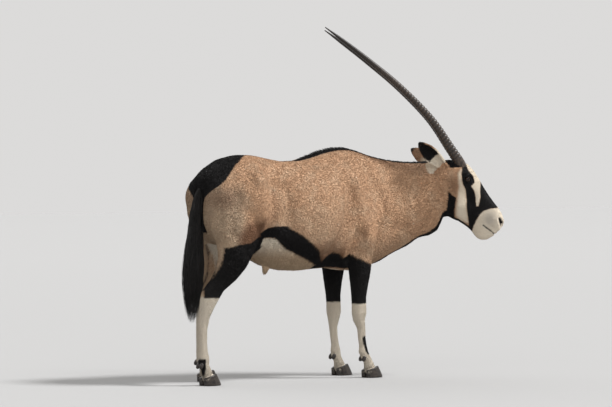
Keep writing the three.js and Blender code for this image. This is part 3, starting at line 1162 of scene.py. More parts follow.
@dataclass
class Markings:
    """Where the coat is black, pale, brown or grey, as numbers kept at each point of the skin. The brown
    share also carries painted shade in the folds and under the belly, and the grey share painted shade on
    the muzzle.

    Black and pale are distances inside a marking's edge, and brown and grey are shares. Outlines
    are side views in straight places, x along the animal and z up, and both sides are the same.
    Widths are halves of a strip along the back or the throat, and tops are a marking's upper edge.

    Attributes:
        posture: how the animal stands.
        form: the skin's form, for the eyes, ears and mouth.
        croup_middle: the point round which the croup's width is counted, in degrees.
        coronets_x: straight x of each coronet's front, in the order of the form's legs.
        hair_long: the trunk's hair's length.
        hair_short_by: how much shorter it is on the head and the legs.
        hair_wide: its width.
        hair_thin_by: how much narrower it is there.
        sparse: the trunk's share of the densest coat.
        skin_tone: the skin's own tone among the hairs'.
    """

    posture: Posture
    form: BodyForm
    croup_middle: Pair = (-0.300, 0.850)
    croup_widths: Outline = (
        (-12, 0.026), (3, 0.027), (14, 0.030), (20, 0.045), (26, 0.078), (32, 0.118),
        (38, 0.142), (47, 0.142), (58, 0.134), (69, 0.122), (81, 0.100), (92, 0.058), (104, 0.000),
    )
    flank_stripe: Outline = (
        (-0.262, 0.752), (-0.223, 0.784), (-0.190, 0.790), (-0.129, 0.791), (-0.106, 0.776),
        (-0.072, 0.756), (-0.037, 0.735), (0.067, 0.667), (0.110, 0.626), (0.160, 0.600),
        (0.160, 0.572), (0.085, 0.597), (0.002, 0.627), (-0.043, 0.643), (-0.117, 0.675),
        (-0.147, 0.696), (-0.166, 0.716), (-0.188, 0.731), (-0.243, 0.734),
    )
    belly_top: Outline = (
        (-0.300, 0.700), (-0.243, 0.734), (-0.188, 0.731), (-0.166, 0.716), (-0.147, 0.696),
        (-0.117, 0.675), (-0.043, 0.643), (0.002, 0.627), (0.085, 0.597), (0.150, 0.580),
        (0.250, 0.570), (0.340, 0.556),
    )
    arm_top: Outline = (
        (0.120, 0.590), (0.152, 0.629), (0.193, 0.654), (0.237, 0.647), (0.284, 0.625),
        (0.303, 0.646), (0.337, 0.626), (0.378, 0.604), (0.432, 0.588),
    )
    thigh_top: Outline = (
        (-0.483, 0.685), (-0.451, 0.690), (-0.409, 0.700), (-0.339, 0.709), (-0.292, 0.723),
        (-0.258, 0.740),
    )
    thigh_brown: Outline = (
        (-0.262, 0.815), (-0.353, 0.800), (-0.400, 0.744), (-0.400, 0.690), (-0.292, 0.700),
        (-0.240, 0.745),
    )
    mane_widths: Outline = (
        (-0.300, 0.005), (-0.100, 0.005), (0.000, 0.010), (0.060, 0.026), (0.119, 0.044),
        (0.242, 0.048), (0.378, 0.044), (0.498, 0.030), (0.634, 0.020), (0.750, 0.017),
        (0.905, 0.020),
    )
    throat_widths: Outline = (
        (0.500, 0.000), (0.560, 0.034), (0.640, 0.030), (0.800, 0.026), (0.900, 0.034),
        (0.955, 0.050),
    )
    brow_strip: Outline = (
        (1.040, 1.112), (1.062, 1.114), (1.096, 1.076), (1.120, 1.028), (1.123, 1.004),
        (1.120, 0.966), (1.121, 0.924), (1.111, 0.880), (1.099, 0.880), (1.096, 0.924),
        (1.089, 0.960), (1.072, 0.984), (1.090, 1.004), (1.084, 1.034), (1.058, 1.066),
    )
    face_black: Outline = (
        (1.026, 1.090), (1.022, 1.044), (1.027, 1.002), (1.043, 0.966), (1.049, 0.914),
        (1.049, 0.872), (1.055, 0.835), (1.060, 0.799), (1.066, 0.745), (1.078, 0.740),
        (1.087, 0.778), (1.102, 0.809), (1.117, 0.835), (1.138, 0.856), (1.170, 0.867),
        (1.207, 0.871), (1.240, 0.880), (1.200, 0.960), (1.150, 1.030), (1.090, 1.110),
    )
    latch: Outline = (
        (0.955, 0.962), (0.974, 0.938), (0.995, 0.924), (0.991, 0.900), (0.987, 0.860),
        (0.992, 0.790), (0.940, 0.790), (0.946, 0.860), (0.951, 0.905),
    )
    cheek: Outline = (
        (1.002, 1.052), (1.022, 1.075), (1.022, 1.044), (1.027, 1.002), (1.043, 0.966),
        (1.049, 0.914), (1.049, 0.872), (1.055, 0.835), (1.062, 0.790), (1.020, 0.803),
        (0.995, 0.830), (0.993, 0.872), (1.001, 0.930), (1.008, 0.985),
    )
    muzzle: Outline = (
        (1.207, 0.871), (1.170, 0.867), (1.138, 0.856), (1.117, 0.835), (1.102, 0.809),
        (1.087, 0.778), (1.077, 0.740), (1.090, 0.680), (1.300, 0.680), (1.300, 0.880),
    )
    jaw_low: Outline = (
        (0.955, 0.828), (0.985, 0.812), (1.008, 0.803), (1.030, 0.790), (1.050, 0.776),
        (1.066, 0.763),
    )

    coronets_x: tuple[float, ...] = (0.446, 0.418, -0.556, -0.414)
    hair_long: float = 0.0140
    hair_short_by: float = 0.0070
    hair_wide: float = 0.0026
    hair_thin_by: float = 0.0011
    sparse: float = 0.37
    skin_tone: float = 0.42

    def ear_place(self, straight: Array) -> Array:
        """How far along the nearer ear places are.

        Args:
            straight: (n, 3) straight places.

        Returns:
            (n,) shares of the ear's length, 0 at its base.
        """
        along = []
        for base, tip in self.form.ears:
            run = np.array(tip) - np.array(base)
            along.append((straight - np.array(base)) @ run / (run @ run))
        return np.where(straight[:, 1] < 0.0, along[0], along[1])

    def body_black(self, v: Seen, normal: Array) -> list[Array]:
        """The black of the croup, flanks, legs, back and throat.

        Args:
            v: the places.
            normal: (n, 3) straight normals.

        Returns:
            Distances inside each marking.
        """
        x, z, side, y = v.x, v.z, v.side, v.p[:, 1]
        angle = np.degrees(np.arctan2(z - self.croup_middle[1], self.croup_middle[0] - x))
        croup = between(rounded(self.croup_widths).tolist(), angle) - side
        in_front = (x > 0.115) & (x < 0.50)
        arm = only(in_front, np.minimum(between(self.arm_top, x) - z, z - 0.386))
        arm = np.minimum(arm, side - 0.072 * ramp(0.50, 0.55, z) + 0.02)
        groin = side - 0.110 * ramp(0.58, 0.68, z)
        gaskin = np.minimum(between(self.thigh_top, x) - z, z - 0.438)
        gaskin = only(x < -0.235, np.minimum(gaskin, groin + 0.02))
        outer = normal[:, 1] * np.sign(y) + 0.55
        gaskin = np.minimum(gaskin, 0.045 * np.minimum(normal[:, 0] + 0.80, outer))
        back = (x > -0.30) & (x < 0.93) & (z > 1.02)
        throat = (x > 0.50) & (x < 0.97) & (z < 0.86)
        front = x - (0.416 - 0.25 * (z - 0.12)) - 0.012 * ((z - 0.169) / 0.049) ** 4
        shin = np.minimum(np.minimum(z - 0.120, 0.218 - z), front)
        heel = np.minimum(0.135 - z, -0.006 + (-0.568 - x))
        return [
            only((x < -0.22) & (angle > -25.0), croup),
            only((x < -0.5235) & (z > 0.87), 0.022 - side),
            only(side > 0.08, v.inside(self.flank_stripe)),
            arm,
            gaskin,
            only(back, between(self.mane_widths, x) - side),
            only(throat, between(self.throat_widths, x) - side),
            only((x > 0.3) & (y < 0.0), shin),
            only((x < -0.5) & (y < 0.0), heel),
        ]

    def head_black(self, v: Seen, inner_ear: Array) -> list[Array]:
        """The black of the face, the crown, the ears, the lids and the mouth, and painted shade in the
        nostrils.

        Args:
            v: the places.
            inner_ear: (n,) shares of how much each faces into an ear's opening.

        Returns:
            Distances inside each marking.
        """
        x, z, side = v.x, v.z, v.side
        strip = np.where(x > 0.93, -v.inside(self.brow_strip), FAR)
        face = np.minimum(v.on_face(self.face_black), strip)
        jaw = only((x > 0.95) & (x < 1.075), between(self.jaw_low, x) + 0.011 - z)
        crown = only((z > 1.08) & (x > 0.93), 0.052 - np.hypot(x - 0.992, side * 0.7))
        ear = self.form.ear_share(v.p) > 0.5
        along = self.ear_place(v.p)
        patch = np.minimum(along - 0.42, 0.93 - along) * 0.24
        patch = np.minimum(patch, (inner_ear - 0.60) * 0.03)
        outward = outwards(v.p)
        hole = 0.0012 - self.form.nostril_gap(outward)
        lips = 0.0032 - line_distance(v.flat, rounded(self.form.mouth))
        return [
            face * 1.6,
            v.on_face(self.latch) * 1.6,
            jaw * 1.6,
            only(~ear, crown),
            only(ear, np.maximum(patch, (along - 0.90) * 0.10)),
            # painted shade: the nostril's opening and a thin rim round it are made black
            only(x > 1.10, hole * 2.0),
            only(x > 1.10, lips),
            only(x > 0.98, 0.010 * (1.42 - self.form.eye_share(outward))),
        ]

    def pale(self, v: Seen) -> Array:
        """Distances inside the white and cream markings.

        Args:
            v: the places.

        Returns:
            (n,) metres, negative outside.
        """
        x, z, side = v.x, v.z, v.side
        belly = between(self.belly_top, x) - z
        belly = np.minimum(belly, np.where(x > 0.28, 0.055 - side, FAR))
        belly = np.minimum(belly, np.where(x < -0.25, 0.085 - side, FAR))
        foot = np.where(x > 0.0, 0.392, 0.446) - z
        return joined([
            only((x > -0.42) & (x < 0.42), belly),
            only(x < 0.60, foot),
            1.6 * v.on_face(self.brow_strip),
            1.6 * v.on_face(self.muzzle),
            v.on_face(self.cheek),
            only(self.form.ear_share(v.p) > 0.3, (0.62 - self.ear_place(v.p)) * 0.12),
        ])

    def brown(self, v: Seen) -> Array:
        """Shares of brown, with painted shade in the folds and warm painted shade under the belly.

        Args:
            v: the places.

        Returns:
            (n,) shares, 0 to 1.
        """
        x, z, side = v.x, v.z, v.side
        thigh = ramp(-0.035, 0.020, v.inside(self.thigh_brown))
        back = 0.55 * ramp(0.030, 0.012, side) * ramp(-0.30, -0.20, x)
        nape = 0.50 * ramp(0.075, 0.030, side) * ramp(0.10, 0.25, x)
        # painted warm shade under the belly: a band low on the barrel and belly is browned, and on the
        # white turned to earth
        under = ramp(0.72, 0.62, z) * ramp(0.47, 0.52, z)
        return np.maximum.reduce([
            0.85 * thigh * ramp(0.08, 0.12, side) * (x < -0.15),
            back * ramp(0.10, 0.04, x) * (z > 1.0),
            nape * ramp(0.96, 0.88, x) * (z > 1.04),
            0.85 * under * (np.abs(x + 0.02) < 0.30),
            0.55 * v.spot(-0.470, 0.935, 0.085, 0.055),
            0.45 * v.spot(0.18, 0.68, 0.09, 0.035),
            0.55 * v.spot(0.985, 0.985, 0.035, 0.055),
            0.9 * bump(v.p, (-0.128, 0.0, 0.538), (0.030, 0.05, 0.022)),
            0.35 * ridge(v.on_face(self.cheek), 0.010) * (x > 0.93),
            0.6 * self.form.ear_share(v.p) * ramp(0.45, 0.70, self.ear_place(v.p)),
            # painted shade: the folds' hollows are darkened towards brown
            0.18 * self.form.crease(v.p) * (x < 0.7),
        ])

    def grey(self, v: Seen) -> Array:
        """Shares of grey in the fawn, and of painted shade on the muzzle.

        Args:
            v: the places.

        Returns:
            (n,) shares, which go past 1 on the muzzle.
        """
        x, z = v.x, v.z
        barrel = ramp(0.98, 0.76, z) * ramp(-0.30, -0.15, x)
        shares = [
            0.35 * (barrel * ramp(0.32, 0.20, x)),
            ramp(-0.33, -0.42, x) * ramp(1.05, 0.92, z),
            ramp(-0.46, -0.50, x),
            0.4 * ramp(0.80, 0.62, z) * ramp(0.30, 0.36, x),
            0.7 * (ramp(0.44, 0.36, z) * (x < 0.6)),
        ]
        # painted shade: the white of the muzzle is greyed most round its middle
        muzzle = 1.9 * v.spot(1.170, 0.815, 0.040, 0.050)
        return np.where(x > 1.1, muzzle, np.clip(np.maximum.reduce(shares), 0.0, 1.0))

    def lie(self, p: Array) -> Array:
        """Which way the hair points.

        Args:
            p: (n, 3) straight places.

        Returns:
            (n, 3) straight directions.
        """
        x, z = p[:, 0:1], p[:, 2:3]
        way = np.tile([-1.0, 0.0, -0.30], (len(p), 1))
        way = way + ramp(0.90, 0.60, z) * np.array([0.25, 0.0, -0.55])
        neck = ramp(0.45, 0.60, x) * ramp(0.95, 0.85, x)
        way = way + neck * np.array([0.10, 0.0, -0.25])
        ears = np.array([np.array(tip) - np.array(base) for base, tip in self.form.ears])
        turns = (
            (ramp(-0.38, -0.50, x), np.array([-0.15, 0.0, -1.0])),
            (ramp(0.66, 0.52, z) * (x < 0.6), np.array([-0.12, 0.0, -1.0])),
            (ramp(0.93, 1.02, x), np.array([-0.75, 0.0, 0.55])),
            (self.form.ear_share(p)[:, None], np.where(p[:, 1:2] < 0.0, ears[0], ears[1]) / 0.2),
        )
        for share, there in turns:
            way = way * (1.0 - share) + share * there
        return way

    @staticmethod
    def averaged(values: Array, edges: Array, rounds: int = 14) -> Array:
        """Evens numbers out along a mesh's edges.

        Args:
            values: (n, d) numbers at its points.
            edges: (m, 2) the points each edge joins.
            rounds: how often each point takes its neighbours' mean.

        Returns:
            The evened numbers.
        """
        ends = np.concatenate([edges, edges[:, ::-1]])
        count = np.bincount(ends[:, 0], minlength=len(values))
        for _ in range(rounds):
            sums = [np.bincount(ends[:, 0], v[ends[:, 1]], len(values)) for v in values.T]
            values = 0.5 * values + 0.5 * np.stack(sums, 1) / np.maximum(count, 1)[:, None]
        return values

    def bare(self, p: Array) -> Array:
        """Where no hair grows: in the eyes, nostrils and mouth and under the hooves' upper edge.

        Args:
            p: (n, 3) straight places.

        Returns:
            (n,) booleans.
        """
        outward = outwards(p)
        seam = line_distance(outward[:, [0, 2]], np.array(self.form.mouth)) < 0.004
        bare = (self.form.eye_share(outward) < 1.25) & (p[:, 0] > 0.98)
        bare |= (self.form.nostril_gap(outward) < 0.002) | (seam & (p[:, 0] > 1.1))
        for front, (_, leg_y) in zip(self.coronets_x, self.form.legs_at):
            ahead = p[:, 0] - front
            mine = (np.abs(ahead) < 0.12) & (p[:, 1] * leg_y > 0.0)
            bare |= mine & (p[:, 2] < 0.036 + 0.030 * ramp(-0.012, 0.018, ahead))
        return bare

    def apply(self, skin: Object) -> None:
        """Writes the markings, the lie and the hair's sizes on the skin as attributes.

        Args:
            skin: the finished skin.
        """
        mesh = skin.data
        p = self.posture.straighten(read(mesh.vertices, "co", 3, float))
        x, y, z = p.T
        normals = read(mesh.vertex_normals, "vector", 3)
        turned = self.posture.turn_vectors(x, normals, back=True)
        broad = self.averaged(turned, read(mesh.edges, "vertices", 2, np.int32))
        back = np.full(len(p), -0.25)
        inner_ear = (broad * np.stack([back, np.sign(y) * 0.93, back], 1)).sum(1)
        ear = self.form.ear_share(p)
        leg = ramp(0.60, 0.46, z) * (x < 0.6)
        head = ramp(0.92, 1.02, x)
        small = np.maximum.reduce([leg * 0.86, head, ear])
        length = self.hair_long - self.hair_short_by * small - 0.002 * ramp(1.10, 1.17, x) * head
        length = length + 0.004 * (ramp(0.70, 0.62, z) * (x < 0.35) * (1.0 - leg))
        length = length + 0.010 * (ramp(0.085, 0.062, z) * (x < 0.6))
        density = self.sparse + 0.63 * np.maximum.reduce([leg * 0.9, head, ear])
        v = Seen(p)
        values = {
            "black": joined(self.body_black(v, broad) + self.head_black(v, inner_ear)),
            "pale": self.pale(v),
            "brown": self.brown(v),
            "grey": self.grey(v),
            "hair_length": length,
            "hair_width": self.hair_wide - self.hair_thin_by * small,
            "hair_density": np.where(self.bare(p), 0.0, density),
            "hair_tone": np.full(len(p), self.skin_tone),
            "lie": self.posture.turn_vectors(x, self.lie(p)),
        }
        for name, value in values.items():
            store(mesh, name, value)
        self._unwrap(mesh, p, turned, ear)

    def _unwrap(self, mesh: Mesh, p: Array, normal: Array, ear: Array) -> None:
        """Lays the skin out flat: one chart for the body, one for each leg, four for the ears.

        Args:
            mesh: the skin's mesh, which gets the map "root_uv".
            p: (n, 3) straight places of its points.
            normal: (n, 3) straight normals.
            ear: (n,) shares of how much each point belongs to an ear.
        """
        x, y, z = p.T
        body_round, leg_round, ear_round, never = 0.64, 0.13, 0.06, 9.0
        middle = between(
            ((-0.56, 0.90), (-0.30, 0.90), (0.10, 0.84), (0.45, 0.88), (0.70, 0.92), (0.90, 0.97),
             (1.05, 0.92), (1.25, 0.78)), x,
        )
        u = 0.01 + 0.98 * (x + 0.56) / 1.83
        v = 0.32 + body_round * (np.arctan2(y, z - middle) / math.tau + 0.5)
        chart = np.zeros(len(p), int)
        for leg, (leg_x, leg_y) in enumerate(self.form.legs_at):
            mine = (z < 0.60) & (np.sign(y) == np.sign(leg_y))
            mine &= (x > 0.27) & (x < 0.60) if leg < 2 else x < -0.22
            spin = np.arctan2(y - leg_y, x - leg_x) / math.tau + 0.5
            u = np.where(mine, 0.02 + 0.16 * leg + leg_round * spin, u)
            v = np.where(mine, 0.02 + 0.26 * z / 0.60, v)
            chart[mine] = 1 + leg
        for k, (base, tip) in enumerate(self.form.ears):
            low, run = np.array(base), np.array(tip) - np.array(base)
            away = p - low
            along = away @ run / (run @ run)
            away = away - along[:, None] * run
            mine = (ear > 0.5) & (np.sign(y) == np.sign(base[1]))
            spin = np.arctan2(away[:, 1], away[:, 2]) / math.tau + 0.5
            within = np.einsum("ij,ij->i", away, normal) < 0.0
            u = np.where(mine, 0.67 + 0.16 * k + 0.07 * within + ear_round * spin, u)
            v = np.where(mine, 0.02 + 0.24 * np.clip(along, 0.0, 1.1), v)
            chart[mine] = 5 + 2 * k + within[mine]
        corners = read(mesh.loops, "vertex_index", kind=np.int32)
        starts = read(mesh.polygons, "loop_start", kind=np.int32)
        first = np.repeat(corners[starts], np.diff(np.append(starts, len(corners))))
        flat = np.stack([u[corners], v[corners]], 1)
        lead = np.stack([u[first], v[first]], 1)
        own = chart[first]
        flat = np.where((chart[corners] == own)[:, None], flat, lead)
        wraps = (
            np.where(own == 0, never, np.where(own < 5, leg_round, ear_round)),
            np.where(own == 0, body_round, never),
        )
        for axis, wrap in enumerate(wraps):
            flat[:, axis] -= wrap * np.round((flat[:, axis] - lead[:, axis]) / wrap)
        store(mesh, "root_uv", np.clip(flat, 0.0, 1.0), "CORNER")


# Node trees and finishes


class Tree:
    """A short way to add and link nodes."""

    def __init__(self, tree: NodeTree) -> None:
        """Takes the tree to build in."""
        self.tree = tree

    def feed(self, node: Node, values: dict) -> Node:
        """Sets a node's inputs.

        Args:
            node: the node.
            values: numbers, or outputs to link, for its inputs by name or place.

        Returns:
            The node.
        """
        for name, value in values.items():
            if isinstance(value, NodeSocket):
                self.tree.links.new(value, node.inputs[name])
            else:
                node.inputs[name].default_value = value
        return node

    def add(self, kind: str, values: dict | None = None, **settings: object) -> Node:
        """Adds a node.

        Args:
            kind: the node's type.
            values: what its inputs get.
            settings: its own properties.

        Returns:
            The node.
        """
        node = self.tree.nodes.new(kind)
        for name, value in settings.items():
            setattr(node, name, value)
        return self.feed(node, values or {})

    def sockets(self, given: dict[str, str], made: dict[str, str]) -> tuple:
        """Gives a group its inputs and outputs.

        Args:
            given: the inputs' kinds by their names.
            made: the outputs' kinds by their names.

        Returns:
            The group's given values, and the node that takes what it makes.
        """
        for way, kinds in (("INPUT", given), ("OUTPUT", made)):
            for name, kind in kinds.items():
                self.tree.interface.new_socket(name, in_out=way, socket_type=f"NodeSocket{kind}")
        return self.add("NodeGroupInput").outputs, self.add("NodeGroupOutput")

    def math(self, kind: str, first: object, second: object = 0.0, clamp: bool = False) -> object:
        """A Math node's output."""
        values = {0: first, 1: second}
        return self.add("ShaderNodeMath", values, operation=kind, use_clamp=clamp).outputs[0]

    def plus(self, first: object, second: object, clamp: bool = False) -> object:
        """A sum."""
        return self.math("ADD", first, second, clamp)

    def minus(self, first: object, second: object) -> object:
        """A difference."""
        return self.math("SUBTRACT", first, second)

    def times(self, first: object, second: object) -> object:
        """A product."""
        return self.math("MULTIPLY", first, second)

    def vector(self, kind: str, values: dict) -> object:
        """A Vector Math node's output."""
        return self.add("ShaderNodeVectorMath", values, operation=kind).outputs[0]

    def mix(self, share: object, first: object, second: object, blend: str = "MIX") -> object:
        """The output of a node that mixes two colours."""
        values = {0: share, 6: first, 7: second}
        return self.add("ShaderNodeMix", values, data_type="RGBA", blend_type=blend).outputs[2]

    def noise(self, place: object, scale: float, detail: float = 3.0) -> object:
        """A noise texture's value."""
        values = {"Vector": place, "Scale": scale, "Detail": detail}
        return self.add("ShaderNodeTexNoise", values).outputs["Fac"]

    def between(self, value: object, low: float, high: float) -> object:
        """A value stretched so that low is 0 and high is 1."""
        values = {0: value, 1: low, 2: high, 3: 0.0, 4: 1.0}
        return self.add("ShaderNodeMapRange", values, interpolation_type="SMOOTHSTEP").outputs[0]

    def share(self, name: str) -> object:
        """A mesh attribute's number, for a material."""
        return self.add("ShaderNodeAttribute", attribute_name=name).outputs["Fac"]

    def named(self, name: str, kind: str = "FLOAT") -> object:
        """A mesh attribute's value, for Geometry Nodes."""
        node = self.add("GeometryNodeInputNamedAttribute", {"Name": name}, data_type=kind)
        return node.outputs[0]

    def relief(self, height: object, strength: float, distance: float) -> object:
        """A Bump node's normal."""
        values = {"Height": height, "Distance": distance, "Strength": strength}
        return self.add("ShaderNodeBump", values).outputs[0]


def new_material(name: str) -> tuple[Material, Tree, Node, object]:
    """Starts a material.

    Args:
        name: its name.

    Returns:
        The material, its tree, its shader and the place on the object.
    """
    made = bpy.data.materials.new(name)
    made.use_nodes = True
    t = Tree(made.node_tree)
    place = t.add("ShaderNodeTexCoord").outputs["Object"]
    return made, t, made.node_tree.nodes["Principled BSDF"], place


@dataclass(frozen=True)
class CoatColours:
    """The coat's colours, as red, green, blue and alpha.

    Attributes:
        fawn: the body's warm ground.
        dusk: what darkens it in spots.
        glow: what lightens it in spots.
        grey: the colder ground of the flanks, thighs and feet.
        brown: the dark warm patches, and the painted shade in the folds and low on the barrel.
        black: the black markings.
        white: the belly, the feet and the face's bands.
        shade: the grey that the grey share gives the white; on the muzzle it is painted shade.
        earth: the warm brown that the brown share gives the white; under the belly it is painted warm
            shade.
        ragged: how far noise moves a marking's edge, in metres.
        edge: how wide its soft edge is.
    """

    fawn: Colour = (0.560, 0.345, 0.208, 1.0)
    dusk: Colour = (0.270, 0.150, 0.090, 1.0)
    glow: Colour = (0.650, 0.470, 0.320, 1.0)
    grey: Colour = (0.430, 0.325, 0.225, 1.0)
    brown: Colour = (0.130, 0.058, 0.030, 1.0)
    black: Colour = (0.0042, 0.0034, 0.0034, 1.0)
    white: Colour = (0.740, 0.655, 0.530, 1.0)
    shade: Colour = (0.270, 0.245, 0.220, 1.0)
    earth: Colour = (0.420, 0.275, 0.155, 1.0)
    ragged: float = 0.010
    edge: float = 0.0035

    def group(self) -> NodeTree:
        """Builds the shared group that turns the coat's marks into a colour.

        Returns:
            The group.
        """
        tree = bpy.data.node_groups.new("coat colours", "ShaderNodeTree")
        t = Tree(tree)
        marks = dict.fromkeys(("Black", "Pale", "Brown", "Grey", "Tone"), "Float")
        given, made = t.sockets(
            {**marks, "Place": "Vector"}, {"Color": "Color", "Black share": "Float"}
        )
        coarse = t.noise(given["Place"], 13.0)
        mottle = t.noise(given["Place"], 105.0, 4.0)
        fine = t.noise(given["Place"], 330.0, 2.0)
        wander = t.times(t.minus(mottle, 0.5), self.ragged)
        black = t.between(t.plus(given["Black"], wander), -self.edge, self.edge)
        pale = t.between(t.plus(given["Pale"], wander), -2.2 * self.edge, 2.2 * self.edge)
        grey = t.plus(given["Grey"], t.times(t.minus(coarse, 0.5), 0.7), clamp=True)
        ground = t.mix(grey, self.fawn, self.grey)
        dark = t.times(t.minus(1.0, t.between(mottle, 0.34, 0.70)), 0.34)
        ground = t.mix(dark, ground, self.dusk)
        ground = t.mix(t.times(t.between(coarse, 0.45, 0.75), 0.36), ground, self.glow)
        # the brown share: brown patches, and painted shade in the folds and low on the barrel
        ground = t.mix(given["Brown"], ground, self.brown)
        # on the white, the grey share greys it; on the muzzle this is painted shade
        cool = t.mix(t.times(given["Grey"], 0.34), self.white, self.shade)
        # on the white, the brown share gives earth; under the belly this is painted warm shade
        cool = t.mix(t.times(given["Brown"], 0.9), cool, self.earth)
        ground = t.mix(pale, ground, cool)
        bright = t.plus(t.times(given["Tone"], 0.32), 0.78)
        bright = t.plus(bright, t.times(t.minus(fine, 0.5), 0.14))
        level = t.add("ShaderNodeCombineColor", {0: bright, 1: bright, 2: bright}).outputs[0]
        colour = t.mix(black, t.mix(1.0, ground, level, "MULTIPLY"), self.black)
        t.feed(made, {"Color": colour, "Black share": black})
        return tree


@dataclass(frozen=True)
class CoatFinish:
    """The hair's finish, on the skin and on the tufts.

    Attributes:
        group: the shared colours.
        name: the material's name.
        relief: how strong the skin's bump is; 0 for tufts.
        rough: its roughness in the fawn.
        sleek: how much less rough the black is.
        gloss: how strongly it mirrors.
        strands: the bump's scale along each axis.
    """

    group: NodeTree
    name: str
    relief: float
    rough: float = 0.72
    sleek: float = 0.14
    gloss: float = 0.18
    strands: Place = (90.0, 420.0, 260.0)

    def material(self) -> Material:
        """Makes the material.

        Returns:
            The material.
        """
        made, t, shader, place = new_material(self.name)
        marks = {"Place": place, "Tone": t.share("hair_tone")}
        marks |= {name: t.share(name.lower()) for name in ("Black", "Pale", "Brown", "Grey")}
        colours = t.add("ShaderNodeGroup", node_tree=self.group)
        t.feed(colours, marks)
        rough = t.minus(self.rough, t.times(colours.outputs["Black share"], self.sleek))
        t.feed(shader, {"Base Color": colours.outputs["Color"], "Roughness": rough})
        t.feed(shader, {"Specular IOR Level": self.gloss})
        if self.relief > 0.0:
            strands = t.add("ShaderNodeMapping", {"Vector": place, "Scale": self.strands})
            height = t.noise(strands.outputs[0], 1.0, 3.0)
            height = t.plus(height, t.times(t.noise(place, 140.0, 3.0), 0.6))
            t.feed(shader, {"Normal": t.relief(height, self.relief, 0.0015)})
        return made


@dataclass(frozen=True)
class PlainFinish:
    """A finish with two colours mixed by noise, and a bump.

    Attributes:
        name: the material's name.
        dark: its darker colour.
        light: its lighter colour.
        scale: the noise's scale along each axis.
        rough: its roughness.
        relief: the bump's strength.
    """

    name: str
    dark: Colour
    light: Colour
    scale: Place
    rough: float
    relief: float

    def material(self, along: str | None = None) -> Material:
        """Makes the material.

        Args:
            along: an attribute that darkens the surface as it goes to 1, or None.

        Returns:
            The material.
        """
        made, t, shader, place = new_material(self.name)
        grain = t.add("ShaderNodeMapping", {"Vector": place, "Scale": self.scale}).outputs[0]
        value = t.noise(grain, 1.0, 4.0)
        colour = t.mix(t.between(value, 0.35, 0.68), self.dark, self.light)
        if along is not None:
            colour = t.mix(t.times(t.share(along), 0.92), colour, self.dark)
        t.feed(shader, {
            "Base Color": colour,
            "Roughness": t.plus(self.rough - 0.06, t.times(value, 0.12)),
            "Normal": t.relief(value, self.relief, 0.001),
            "Specular IOR Level": 0.35,
        })
        return made


# The short coat


